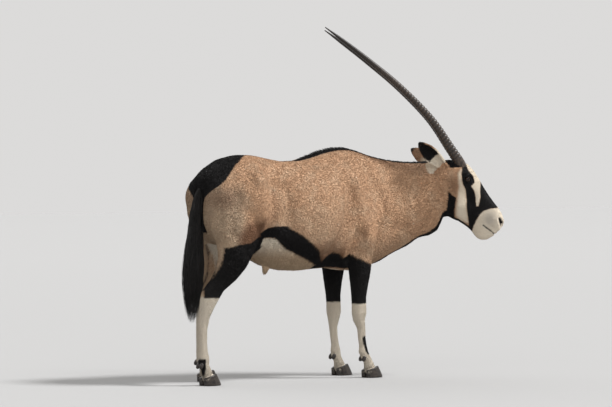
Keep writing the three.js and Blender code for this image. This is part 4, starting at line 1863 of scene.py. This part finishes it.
@dataclass
class ShortCoat:
    """The short coat: small pointed tufts over the whole skin, in several layers.

    Attributes:
        layers: how many pieces it is made in.
        per_layer: tufts to a square metre in each layer where the coat is densest.
        lift: how far a tuft's tip is turned up from the skin.
        patch: how wide a tuft's place on the flat map is.
        stray: how far a tuft's direction strays from the lie.
        first_seed: the first layer's seed.
        seed_step: how much each next layer's seed is more.
    """

    layers: int = 7
    per_layer: float = 28500.0
    lift: float = math.radians(10.0)
    patch: float = 0.003
    stray: float = 0.17
    first_seed: int = 101
    seed_step: int = 13

    def tuft(self) -> Object:
        """Makes one closed tuft a unit long and wide: three corners at its root, and its tip.

        Returns:
            The tuft's object.
        """
        corners = [(0.0, -0.5, -0.12), (0.0, 0.5, -0.12), (0.0, 0.0, 0.15), (1.0, 0.0, 0.0)]
        faces = [(0, 2, 1), (0, 1, 3), (1, 2, 3), (2, 0, 3)]
        mesh = mesh_of("tuft", np.array(corners), faces)
        mesh.shade_smooth()
        on_patch = [(0.0, 0.0, 0.0), (0.0, 1.0, 0.0), (0.0, 0.5, 0.0), (1.0, 0.5, 0.0)]
        store(mesh, "tuft_uv", np.array(on_patch))
        return placed("tuft", mesh)

    def tree(self) -> NodeTree:
        """Builds the node tree that sows and turns the tufts.

        Returns:
            The tree.
        """
        tree = bpy.data.node_groups.new("short coat", "GeometryNodeTree")
        t = Tree(tree)
        given, made = t.sockets(
            {"Geometry": "Geometry", "Tuft": "Object", "Density": "Float", "Lift": "Float",
             "Patch": "Float", "Seed": "Int", "Finish": "Material"},
            {"Geometry": "Geometry"},
        )

        def chance(low: float, high: float, seed: float) -> object:
            """A random number for each tuft."""
            values = {2: low, 3: high, "Seed": t.plus(given["Seed"], seed)}
            return t.add("FunctionNodeRandomValue", values, data_type="FLOAT").outputs[1]

        sown = t.add(
            "GeometryNodeDistributePointsOnFaces",
            {"Mesh": given["Geometry"], "Seed": given["Seed"],
             "Density": t.times(given["Density"], t.named("hair_density"))},
            distribute_method="RANDOM",
        )
        spread = t.add(
            "FunctionNodeRandomValue",
            {0: (-self.stray,) * 3, 1: (self.stray,) * 3, "Seed": given["Seed"]},
            data_type="FLOAT_VECTOR",
        )
        way = t.vector("ADD", {0: t.named("lie", "FLOAT_VECTOR"), 1: spread.outputs[0]})
        turned = t.add(
            "FunctionNodeAxesToRotation", {0: sown.outputs["Normal"], 1: way},
            primary_axis="Z", secondary_axis="X",
        )
        tilt = t.times(t.times(given["Lift"], chance(0.5, 1.6, 3.0)), -1.0)
        tip_up = t.add("FunctionNodeAxisAngleToRotation", {0: (0.0, 1.0, 0.0), 1: tilt})
        lifted = t.add(
            "FunctionNodeRotateRotation", {0: turned.outputs[0], 1: tip_up.outputs[0]},
            rotation_space="LOCAL",
        )
        length = t.times(t.named("hair_length"), chance(0.65, 1.2, 5.0))
        width = t.times(t.named("hair_width"), chance(0.75, 1.2, 7.0))
        scale = t.add("ShaderNodeCombineXYZ", {0: length, 1: width, 2: width})
        toned = t.add(
            "GeometryNodeStoreNamedAttribute",
            {"Geometry": sown.outputs["Points"], "Name": "hair_tone", "Value": chance(0.25, 1.0, 9.0)},
            data_type="FLOAT", domain="POINT",
        )
        shape = t.add("GeometryNodeObjectInfo", {"Object": given["Tuft"]})
        sprouts = t.add(
            "GeometryNodeInstanceOnPoints",
            {"Points": toned.outputs[0], "Instance": shape.outputs["Geometry"],
             "Rotation": lifted.outputs[0], "Scale": scale.outputs[0]},
        )
        real = t.add("GeometryNodeRealizeInstances", {"Geometry": sprouts.outputs[0]})
        local = t.vector("SCALE", {0: t.named("tuft_uv", "FLOAT_VECTOR"), "Scale": given["Patch"]})
        flat = t.vector("ADD", {0: t.named("root_uv", "FLOAT_VECTOR"), 1: local})
        last = t.add(
            "GeometryNodeStoreNamedAttribute",
            {"Geometry": real.outputs[0], "Name": "OFBake", "Value": flat},
            data_type="FLOAT2", domain="CORNER",
        )
        for name in ("root_uv", "tuft_uv", "hair_length", "hair_width", "hair_density", "lie"):
            values = {"Geometry": last.outputs[0], "Name": name}
            last = t.add("GeometryNodeRemoveAttribute", values)
        values = {"Geometry": last.outputs[0], "Material": given["Finish"]}
        t.feed(made, {0: t.add("GeometryNodeSetMaterial", values).outputs[0]})
        return tree

    def build(self, skin: Object, finish: Material) -> list[Object]:
        """Makes the coat's layers.

        Args:
            skin: the skin with its attributes.
            finish: the tufts' material.

        Returns:
            One plain mesh piece for each layer.
        """
        tree, tuft = self.tree(), self.tuft()
        inputs = [item for item in tree.interface.items_tree if item.in_out == "INPUT"]
        sockets = {item.name: item.identifier for item in inputs}
        settings = {
            "Tuft": tuft, "Density": self.per_layer, "Lift": self.lift, "Patch": self.patch,
            "Finish": finish,
        }
        pieces = []
        for layer in range(self.layers):
            host = placed("coat host", skin.data)
            grown = host.modifiers.new("coat", "NODES")
            grown.node_group = tree
            for name, value in settings.items():
                grown[sockets[name]] = value
            grown[sockets["Seed"]] = self.first_seed + self.seed_step * layer
            depsgraph = bpy.context.evaluated_depsgraph_get()
            mesh = bpy.data.meshes.new_from_object(host.evaluated_get(depsgraph))
            host.modifiers.remove(grown)
            bpy.data.objects.remove(host)
            mesh.name = f"coat_layer_{layer + 1}"
            pieces.append(placed(mesh.name, mesh))
            LOG.info("%s: %d triangles", mesh.name, len(mesh.polygons))
        bpy.data.objects.remove(tuft)
        return pieces


# Long hair


def tube_faces(around: int, rings: int, start: int = 0) -> list[tuple[int, int, int, int]]:
    """The sides of a tube.

    Args:
        around: how many points each ring has.
        rings: how many rings there are.
        start: the first ring's first point.

    Returns:
        Its quads.
    """
    faces = []
    for ring in range(rings - 1):
        for k in range(around):
            a, b = start + ring * around + k, start + ring * around + (k + 1) % around
            faces.append((a, b, b + around, a + around))
    return faces


@dataclass
class Locks:
    """Tapered locks of long hair, gathered into one closed mesh each.

    Attributes:
        sides: how many sides a lock has.
        slant: a direction that no lock follows, to turn their sides by.
    """

    sides: int = 3
    slant: Place = (0.13, 0.37, 0.92)

    def __post_init__(self) -> None:
        """Starts with no locks."""
        self.points: list[Array] = []
        self.faces: list[tuple] = []
        self.count = 0

    def add(self, path: Array, radius: float, flat: float = 0.6) -> None:
        """Adds one lock.

        Args:
            path: (m, 3) places from its root to its tip.
            radius: how thick it is near its root.
            flat: how much thinner it is the other way.
        """
        steps = len(path)
        run = np.gradient(path, axis=0)
        run /= np.linalg.norm(run, axis=1, keepdims=True) + 1e-9
        side = np.cross(run, np.array(self.slant))
        side /= np.linalg.norm(side, axis=1, keepdims=True) + 1e-9
        rise = np.cross(run, side)
        share = np.linspace(0.0, 1.0, steps)[:-1]
        size = radius * (0.55 + 0.75 * np.sin(math.pi * np.minimum(share * 1.1 + 0.08, 1.0)))
        size = size * np.sqrt(np.maximum(1.0 - share, 0.02))
        turn = (np.arange(self.sides) * math.tau / self.sides)[None, :, None]
        rings = (
            path[:-1, None]
            + side[:-1, None] * (np.cos(turn) * size[:, None, None])
            + rise[:-1, None] * (np.sin(turn) * size[:, None, None] * flat)
        )
        start, n = self.count, self.sides
        self.points.append(np.vstack([rings.reshape(-1, 3), path[-1:]]))
        self.faces += tube_faces(n, steps - 1, start)
        last = start + (steps - 2) * n
        for k in range(n):
            self.faces.append((last + k, last + (k + 1) % n, start + (steps - 1) * n))
        self.faces.append(tuple(start + k for k in range(n))[::-1])
        self.count += (steps - 1) * n + 1

    def build(self, name: str, finish: Material) -> Object:
        """Makes the piece.

        Args:
            name: the piece's name.
            finish: its material.

        Returns:
            The piece.
        """
        return finished(mesh_of(name, np.vstack(self.points), self.faces), finish, turn=True)


@dataclass
class Tail:
    """The tail's long hair, from the root of the tail to the tassel's tip.

    Attributes:
        posture: how the animal stands.
        locks: how many locks there are.
        top: the highest root.
        low: the lowest root.
        tip: the lowest end.
        widths: the hair's outer radius at heights.
        line: the tail's middle at heights, as straight x.
        seed: the seed of what is random.
    """

    posture: Posture
    locks: int = 1900
    top: float = 1.000
    low: float = 0.735
    tip: float = 0.306
    widths: Outline = (
        (0.300, 0.010), (0.330, 0.020), (0.400, 0.036), (0.500, 0.047), (0.590, 0.049),
        (0.680, 0.043), (0.760, 0.034), (0.860, 0.028), (0.990, 0.025),
    )
    line: Outline = (
        (0.300, -0.566), (0.560, -0.558), (0.756, -0.546), (0.860, -0.539), (0.960, -0.520),
        (1.040, -0.470),
    )
    seed: int = 7

    def build(self, finish: Material) -> Object:
        """Makes the tail's hair.

        Args:
            finish: its material.

        Returns:
            The piece.
        """
        chance = np.random.default_rng(self.seed)
        hair = Locks()
        share = np.linspace(0.0, 1.0, 10)
        for _ in range(self.locks):
            root = self.low + (self.top - self.low) * chance.random() ** 1.5
            length = 0.16 + 0.36 * chance.random()
            end = max(root - length, self.tip + 0.10 * chance.random() ** 2)
            if root < 0.80 and chance.random() < 0.55:
                end = self.tip + 0.14 * chance.random() ** 1.6
            rear = math.pi + (chance.random() - 0.5) * (math.tau if root < 0.82 else 3.6)
            fill = 0.25 + 0.75 * math.sqrt(chance.random())
            z = root + (end - root) * share
            outer = between(self.widths, z) * fill
            start = 0.016 if root < 0.90 else 0.012
            away = start + (outer - start) * ramp(0.0, 0.30, share)
            away = np.minimum(away, between(self.widths, z))
            sway = 0.007 * np.sin(share * 5.0 + chance.random() * math.tau) * share
            away = away * (1.0 + (0.16 * chance.random() ** 4) * share**2)
            angle = rear + (chance.random() - 0.5) * 1.6 * share
            x = between(self.line, z) + away * np.cos(angle) + sway
            y = away * np.sin(angle) + 0.010 * np.sin(share * 4.0 + chance.random() * 6.0) * share
            path = self.posture.pose(np.stack([x, y, z], 1))
            hair.add(path, 0.0016 + 0.0016 * chance.random())
        return hair.build("tail_hair", finish)


@dataclass
class Mane:
    """The short stiff mane and the line of longer hair over the withers.

    Attributes:
        posture: how the animal stands.
        locks: how many locks there are.
        length: the longest lock.
        widths: half the mane's width at straight x.
        heights: shares of the longest lock at straight x.
        above: a height over the whole animal.
        seed: the seed of what is random.
    """

    posture: Posture
    locks: int = 1500
    length: float = 0.026
    widths: Outline = ((0.05, 0.012), (0.25, 0.026), (0.45, 0.024), (0.65, 0.017), (0.95, 0.014))
    heights: Outline = ((0.05, 0.55), (0.20, 1.0), (0.75, 0.95), (0.93, 0.7))
    above: float = 1.30
    seed: int = 11

    def build(self, skin: Object, finish: Material) -> Object:
        """Makes the mane.

        Args:
            skin: the skin it grows from.
            finish: its material.

        Returns:
            The piece.
        """
        chance = np.random.default_rng(self.seed)
        count = self.locks
        along = 0.090 + 0.825 * chance.random(count)
        across = np.clip(chance.normal(0.0, 0.45, count), -1.0, 1.0) * between(self.widths, along)
        above = self.posture.pose(np.stack([along, across, np.full(count, self.above)], 1))
        hair = Locks()
        share = np.linspace(0.0, 1.0, 5)[:, None]
        for k in range(count):
            hit, place, normal, _ = skin.ray_cast(Vector(above[k]), Vector((0.0, 0.0, -1.0)))
            if not hit:
                continue
            size = self.length * (0.6 + 0.4 * chance.random())
            size *= float(between(self.heights, along[k]))
            back = np.array([[-0.86, across[k] * 6.0 + (chance.random() - 0.5) * 0.3, 0.0]])
            back = self.posture.turn_vectors(along[k : k + 1], back)[0]
            up = np.array(normal) * (0.42 + 0.25 * chance.random())
            path = np.array(place) - np.array(normal) * 0.002
            path = path + size * (share * (back + up)) - size * 0.25 * share**2 * up
            hair.add(path, 0.0011 + 0.0007 * chance.random())
        return hair.build("mane", finish)


@dataclass
class Lashes:
    """The lashes of the upper lids.

    Attributes:
        posture: how the animal stands.
        form: the skin's form, for the eye's opening.
        each: how many each eye has.
        length: how long they are.
        droop: how far their ends sink.
        radius: how thick they are.
    """

    posture: Posture
    form: BodyForm
    each: int = 26
    length: float = 0.0115
    droop: float = 0.0045
    radius: float = 0.00055

    def build(self, skin: Object, finish: Material) -> Object:
        """Makes the lashes of both eyes.

        Args:
            skin: the skin they grow from.
            finish: their material.

        Returns:
            The piece.
        """
        hair = Locks()
        c, s = math.cos(self.form.eye_tilt), math.sin(self.form.eye_tilt)
        share = np.linspace(0.0, 1.0, 5)[:, None]
        for side in (each.value for each in Side):
            for turn in np.linspace(0.10, 0.90, self.each) * math.pi:
                along = 1.02 * self.form.eye_long * math.cos(turn)
                up = 1.02 * self.form.eye_high * math.sin(turn)
                x = self.form.eye[0] + along * c + up * s
                z = self.form.eye[2] - along * s + up * c
                aim = np.array([[x, side * 0.16, z], [x, side * 0.02, z]])
                start, end = self.posture.pose(aim)
                hit, place, _, _ = skin.ray_cast(Vector(start), Vector(end - start).normalized())
                if not hit:
                    continue
                out = np.array([[0.25 + 0.35 * math.cos(turn), side * 0.9, 0.10]])
                out = self.posture.turn_vectors(np.array([x]), out)[0]
                path = np.array(place) - 0.001 * out
                droop = np.array([0.0, 0.0, -self.droop])
                path = path + share * self.length * out + droop * share**2
                hair.add(path, self.radius)
        return hair.build("lashes", finish)


# Horns, hooves and eyes


@dataclass
class Horns:
    """The two long ringed horns.

    Attributes:
        posture: how the animal stands.
        line: straight places of a horn's middle, with y counted outwards.
        radii: its radius at each of them.
        rings: how many rings it has.
        ringed: how much of its length they cover.
        smooth_foot: the share of its length before the first ring.
        around: how many sides it has.
        steps: how many rings of points it has.
        knots: how many places the curve has between two given ones.
    """

    posture: Posture
    line: tuple[Place, ...] = (
        (1.026, 0.033, 1.068), (1.014, 0.039, 1.106), (0.962, 0.054, 1.186), (0.857, 0.084, 1.338),
        (0.698, 0.120, 1.501), (0.539, 0.154, 1.634), (0.401, 0.184, 1.740), (0.312, 0.203, 1.805),
    )
    radii: tuple[float, ...] = (0.0270, 0.0265, 0.0240, 0.0200, 0.0165, 0.0130, 0.0090, 0.0025)
    rings: int = 30
    ringed: float = 0.60
    smooth_foot: float = 0.055
    around: int = 28
    steps: int = 330
    knots: int = 24

    def _curve(self, side: float) -> tuple[Array, Array, Array]:
        """A horn's middle line, its radii and how far along each lies.

        Args:
            side: -1 for the right horn and 1 for the left.

        Returns:
            The places, the radii and the shares of its length.
        """
        knots = np.array([(x, side * y, z) for x, y, z in self.line])
        radii = np.array(self.radii)
        ends = np.vstack([2 * knots[0] - knots[1], knots, 2 * knots[-1] - knots[-2]])
        places, sizes = [], []
        for k in range(len(knots) - 1):
            a, b, c, d = ends[k : k + 4]
            for t in np.linspace(0.0, 1.0, self.knots, endpoint=False):
                curve = 2 * b + (c - a) * t + (2 * a - 5 * b + 4 * c - d) * t**2
                places.append(0.5 * (curve + (3 * b - a - 3 * c + d) * t**3))
                sizes.append(radii[k] + (radii[k + 1] - radii[k]) * t)
        places.append(knots[-1])
        sizes.append(radii[-1])
        line = self.posture.pose_with_head(np.array(places))
        gone = np.concatenate([[0.0], np.cumsum(np.linalg.norm(np.diff(line, axis=0), axis=1))])
        share = gone / gone[-1]
        even = np.linspace(0.0, 1.0, self.steps)
        line = np.stack([np.interp(even, share, line[:, a]) for a in range(3)], 1)
        return line, np.interp(even, share, sizes), even

    def one(self, side: float, name: str, finish: Material) -> Object:
        """Makes one horn.

        Args:
            side: -1 for the right horn and 1 for the left.
            name: its name.
            finish: its material.

        Returns:
            The piece.
        """
        line, sizes, share = self._curve(side)
        run = np.gradient(line, axis=0)
        run /= np.linalg.norm(run, axis=1, keepdims=True)
        out = np.cross(run, np.array([0.0, 0.0, 1.0]))
        out /= np.linalg.norm(out, axis=1, keepdims=True)
        front = np.cross(out, run)
        low = self.smooth_foot
        phase = (share - low) / (self.ringed - low) * self.rings
        wave = 0.5 - 0.5 * np.cos(math.tau * phase)
        fade = ramp(low, low + 0.03, share) * ramp(self.ringed, self.ringed - 0.12, share)
        rise = 0.150 * (wave**0.6 - 0.80) * fade
        turn = np.arange(self.around) * math.tau / self.around
        slant = 0.010 * np.cos(turn)[None, :] * fade[:, None]
        uneven = 0.012 * np.sin(3.0 * turn[None, :] + 9.0 * share[:, None])
        strong = 0.72 + 0.28 * np.sin(turn)[None, :]
        radius = sizes[:, None] * (1.0 + rise[:, None] * strong + uneven)
        about = turn[None, :, None]
        ring = (
            line[:, None]
            + radius[:, :, None] * (out[:, None] * np.cos(about) + front[:, None] * np.sin(about))
            + run[:, None] * (slant * sizes[:, None])[:, :, None]
        )
        points = np.vstack([ring.reshape(-1, 3), line[:1], line[-1:] + run[-1:] * 0.002])
        n, m = self.around, self.steps
        faces = tube_faces(n, m)
        for k in range(n):
            faces.append(((k + 1) % n, k, n * m))
            faces.append(((m - 1) * n + k, (m - 1) * n + (k + 1) % n, n * m + 1))
        mesh = mesh_of(name, points, faces)
        # the dark share: the tip's own darker horn, and painted shade in the grooves between the rings
        dark = np.maximum(ramp(0.45, 0.85, share), 0.9 * fade * (1.0 - wave) ** 0.8)
        store(mesh, "tip", np.concatenate([np.repeat(dark, n), [0.0, 1.0]]))
        return finished(mesh, finish, turn=True)

    def build(self) -> list[Object]:
        """Makes both horns.

        Returns:
            The two pieces.
        """
        # the horn finish darkens by the 'tip' attribute, which is the dark tip and painted shade in the
        # ring grooves
        finish = PlainFinish(
            "horn", (0.015, 0.012, 0.010, 1.0), (0.088, 0.060, 0.043, 1.0),
            (300.0, 300.0, 50.0), 0.44, 0.35,
        ).material("tip")
        pieces = []
        for side in Side:
            piece = self.one(side.value, f"ringed_horn_{side.word}", finish)
            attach(piece, BODY)
            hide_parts(f"horn_{side.word}")
            pieces.append(piece)
        return pieces


@dataclass
class Hooves:
    """The hooves and dewclaws: the solids softened all round, with growth rings.

    Attributes:
        step: the mesh pitch.
        soft: how far the form is softened, as a deviation.
        ring: how far apart the growth rings are.
        groove: how deep they are.
        band: how many steps from the solid are measured.
    """

    step: float = 0.0024
    soft: float = 0.0024
    ring: float = 0.0068
    groove: float = 0.00028
    band: int = 5

    def one(self, name: str, finish: Material) -> Object:
        """Makes one hoof or dewclaw from its solid.

        Args:
            name: the solid's name.
            finish: the horn's finish.

        Returns:
            The piece.
        """
        corners = triangles_of(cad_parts[name])
        shell = level_set(corners, self.step, float(self.band))
        first = np.floor(corners.min(0) / self.step).astype(int) - self.band + 1
        size = np.ceil(corners.max(0) / self.step).astype(int) + self.band - first
        grid = DistanceGrid.copied(shell, first, size, self.step, float(self.band))
        grid.soften(self.soft / self.step)
        ahead, _, height = (axis.reshape(grid.values.shape) for axis in grid.places().T)
        rings = np.sin((height - 0.25 * ahead) * math.tau / self.ring)
        fade = ramp(0.004, 0.012, height)
        grid.values += (self.groove * rings * fade).astype(np.float32)
        points, quads = quads_of(grid.values, grid.low, self.step)
        points[:, 2] = np.maximum(points[:, 2], 0.0)
        return finished(mesh_of(f"shaped_{name}", points, quads), finish)

    def build(self) -> list[Object]:
        """Makes every hoof and dewclaw.

        Returns:
            The pieces.
        """
        finish = PlainFinish(
            "hoof", (0.012, 0.010, 0.009, 1.0), (0.040, 0.031, 0.025, 1.0),
            (40.0, 40.0, 170.0), 0.36, 0.3,
        ).material()
        pieces = []
        for name in sorted(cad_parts):
            if name.startswith(("hoof", "dewclaw")):
                piece = self.one(name, finish)
                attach(piece, BODY)
                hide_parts(name)
                pieces.append(piece)
        return pieces


@dataclass
class Eyes:
    """The two eyeballs with a dark iris and a level pupil.

    Attributes:
        posture: how the animal stands.
        place: an eyeball's middle, straight, with y counted outwards.
        radius: its radius.
        pupil: half the pupil's width and height, as shares of the radius.
        outer: how far out the eyeball faces ahead, as a share of how far aside.
        iris: the iris's two colours.
        rim: its dark edge.
        deep: the pupil.
        white: the eyeball round it.
    """

    posture: Posture
    place: Place = (1.052, 0.066, 1.021)
    radius: float = 0.0166
    pupil: Pair = (0.42, 0.16)
    outer: float = 0.12
    iris: tuple[Colour, Colour] = ((0.010, 0.005, 0.003, 1.0), (0.034, 0.015, 0.007, 1.0))
    rim: Colour = (0.006, 0.004, 0.003, 1.0)
    deep: Colour = (0.002, 0.002, 0.003, 1.0)
    white: Colour = (0.030, 0.020, 0.016, 1.0)

    def finish(self) -> Material:
        """Makes the eye's glossy finish, which follows each eye's own attribute "eye_place".

        Returns:
            The material.
        """
        made, t, shader, _ = new_material("eye")
        place = t.add("ShaderNodeAttribute", attribute_name="eye_place").outputs["Vector"]
        wide, tall, _ = t.add("ShaderNodeSeparateXYZ", {0: place}).outputs
        ring = t.math("SQRT", t.plus(t.times(wide, wide), t.times(tall, tall)))
        slot = [
            t.math("POWER", t.math("ABSOLUTE", t.math("DIVIDE", part, reach)), 4.0)
            for part, reach in zip((wide, tall), self.pupil)
        ]
        iris = t.mix(t.noise(place, 9.0, 4.0), *self.iris)
        iris = t.mix(t.between(ring, 0.58, 0.76), iris, self.rim)
        colour = t.mix(t.between(t.plus(*slot), 0.8, 1.3), self.deep, iris)
        t.feed(shader, {
            "Base Color": t.mix(t.between(ring, 0.80, 0.88), colour, self.white),
            "Roughness": 0.12,
            "Specular IOR Level": 0.10,
            "Coat Weight": 0.35,
            "Coat Roughness": 0.03,
        })
        return made

    def build(self) -> list[Object]:
        """Makes both eyes.

        Returns:
            The two pieces.
        """
        finish = self.finish()
        pieces = []
        for side in Side:
            bm = bmesh.new()
            bmesh.ops.create_uvsphere(bm, u_segments=40, v_segments=24, radius=self.radius)
            at = np.array([[self.place[0], side.value * self.place[1], self.place[2]]])
            centre = self.posture.pose(at)[0]
            axes = self.posture.turn_vectors(
                np.full(3, self.place[0]),
                np.array([[1.0, 0.0, 0.0], [0.0, 0.0, 1.0], [self.outer, side.value, 0.0]]),
            )
            places = np.array([v.co for v in bm.verts])
            local = np.stack([places @ axis for axis in axes], 1) / self.radius
            swell = 1.0 + 0.05 * ramp(0.70, 0.95, local[:, 2])
            for vert, grow in zip(bm.verts, swell):
                vert.co = vert.co * grow + Vector(centre)
            mesh = bpy.data.meshes.new(f"eyeball_{side.word}")
            bm.to_mesh(mesh)
            bm.free()
            store(mesh, "eye_place", local)
            piece = finished(mesh, finish)
            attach(piece, BODY)
            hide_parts(f"eye_{side.word}")
            pieces.append(piece)
        return pieces


# The stage


@dataclass
class Stage:
    """The camera, a pale floor and soft lights.

    Attributes:
        lens: the camera's lens in mm, on a sensor 36 mm wide.
        heading: how far the camera's view is turned from straight across the animal.
        dip: how far it looks down.
        place: where it stands.
        reach: how far the floor goes.
        floor_colours: the floor's two colours.
        sky: the studio's light from all round.
        sky_power: its strength.
        lamps: each lamp's name, its turn round the animal, its height and its power and width.
    """

    lens: float = 184.5
    heading: float = 35.0
    dip: float = 0.886
    place: Place = (-9.361, -13.159, 1.1475)
    reach: float = 40.0
    floor_colours: tuple[Colour, Colour] = ((0.332, 0.330, 0.328, 1.0), (0.348, 0.346, 0.344, 1.0))
    sky: Colour = (0.94, 0.93, 0.92, 1.0)
    sky_power: float = 0.76
    lamps: tuple[tuple[str, float, float, float, float], ...] = (
        ("key light", 52.0, 50.0, 4.3, 12.0),
        ("fill light", -40.0, 25.0, 0.65, 60.0),
        ("rear light", 190.0, 45.0, 0.5, 50.0),
    )

    def camera(self) -> None:
        """Makes the camera at the photograph's angle."""
        data = bpy.data.cameras.new("camera")
        data.lens = self.lens
        data.clip_end = 100.0
        camera = placed("camera", data)
        camera.location = self.place
        camera.rotation_euler = (
            math.radians(90.0 - self.dip), 0.0, math.radians(-self.heading)
        )
        bpy.context.scene.camera = camera

    def floor(self) -> Object:
        """Makes the floor and its pale finish.

        Returns:
            The floor.
        """
        corners = np.array([(-1.0, -1.0, 0.0), (1.0, -1.0, 0.0), (1.0, 1.0, 0.0), (-1.0, 1.0, 0.0)])
        mesh = mesh_of("floor", corners * self.reach, [(0, 1, 2, 3)])
        finish, t, shader, _ = new_material("pale floor")
        spots = t.add("ShaderNodeTexNoise", {"Scale": 3.0}).outputs["Fac"]
        t.feed(shader, {"Base Color": t.mix(spots, *self.floor_colours), "Roughness": 0.9})
        mesh.materials.append(finish)
        return placed("floor", mesh)

    def light(self, name: str, turn: float, height: float, power: float, soft: float) -> None:
        """Adds one soft light from far off.

        Args:
            name: its name.
            turn: where it stands, in degrees round the animal; 0 is across it from the right.
            height: how far it stands above the floor, in degrees.
            power: its strength.
            soft: how wide it is, in degrees.
        """
        data = bpy.data.lights.new(name, "SUN")
        data.angle = math.radians(soft)
        data.energy = power
        lamp = placed(name, data)
        turn, height = math.radians(turn), math.radians(height)
        flat = math.cos(height)
        place = Vector((math.sin(turn) * flat, -math.cos(turn) * flat, math.sin(height)))
        lamp.location = place * 6.0
        lamp.rotation_euler = (-place).to_track_quat("-Z", "Y").to_euler()

    def build(self) -> None:
        """Sets the whole stage."""
        self.camera()
        self.floor()
        for lamp in self.lamps:
            self.light(*lamp)
        world = bpy.data.worlds.new("studio")
        world.use_nodes = True
        sky = world.node_tree.nodes["Background"]
        Tree(world.node_tree).feed(sky, {"Color": self.sky, "Strength": self.sky_power})
        bpy.context.scene.world = world
        bpy.context.scene.view_settings.view_transform = "Standard"


FLESH = (
    "trunk", "neck", "head", "ear_right", "ear_left", "tail_dock",
    *(f"{leg}_{side.word}_{part}" for leg in ("foreleg", "hindleg")
      for side in Side for part in ("upper", "lower")),
)


def main() -> None:
    """Builds the animal and its stage."""
    logging.basicConfig(level=logging.INFO, format="%(message)s")
    posture = Posture()
    form = BodyForm(posture)
    skin = Skin(form).build()
    LOG.info("skin: %d points, %d faces", len(skin.data.vertices), len(skin.data.polygons))
    Markings(posture, form).apply(skin)
    colours = CoatColours().group()
    hair = CoatFinish(colours, "coat hair", 0.0).material()
    layers = ShortCoat().build(skin, hair)
    skin.data.attributes.remove(skin.data.attributes["root_uv"])
    skin.data.materials.append(CoatFinish(colours, "skin", 0.35).material())
    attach(skin, BODY)
    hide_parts(*FLESH)
    for layer in layers:
        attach(layer, BODY)
    black_hair = PlainFinish(
        "black hair", (0.004, 0.0035, 0.0035, 1.0), (0.011, 0.009, 0.008, 1.0),
        (300.0, 300.0, 40.0), 0.68, 0.3,
    ).material()
    tail = Tail(posture).build(black_hair)
    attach(tail, BODY)
    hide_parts("tail_tassel")
    mane = Mane(posture).build(skin, black_hair)
    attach(mane, BODY)
    lashes = Lashes(posture, form).build(skin, black_hair)
    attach(lashes, BODY)
    for piece in [*Horns(posture).build(), *Hooves().build(), *Eyes(posture).build()]:
        LOG.info("%s: %d faces", piece.name, len(piece.data.polygons))
    Stage().build()


if __name__ == "__main__":
    main()
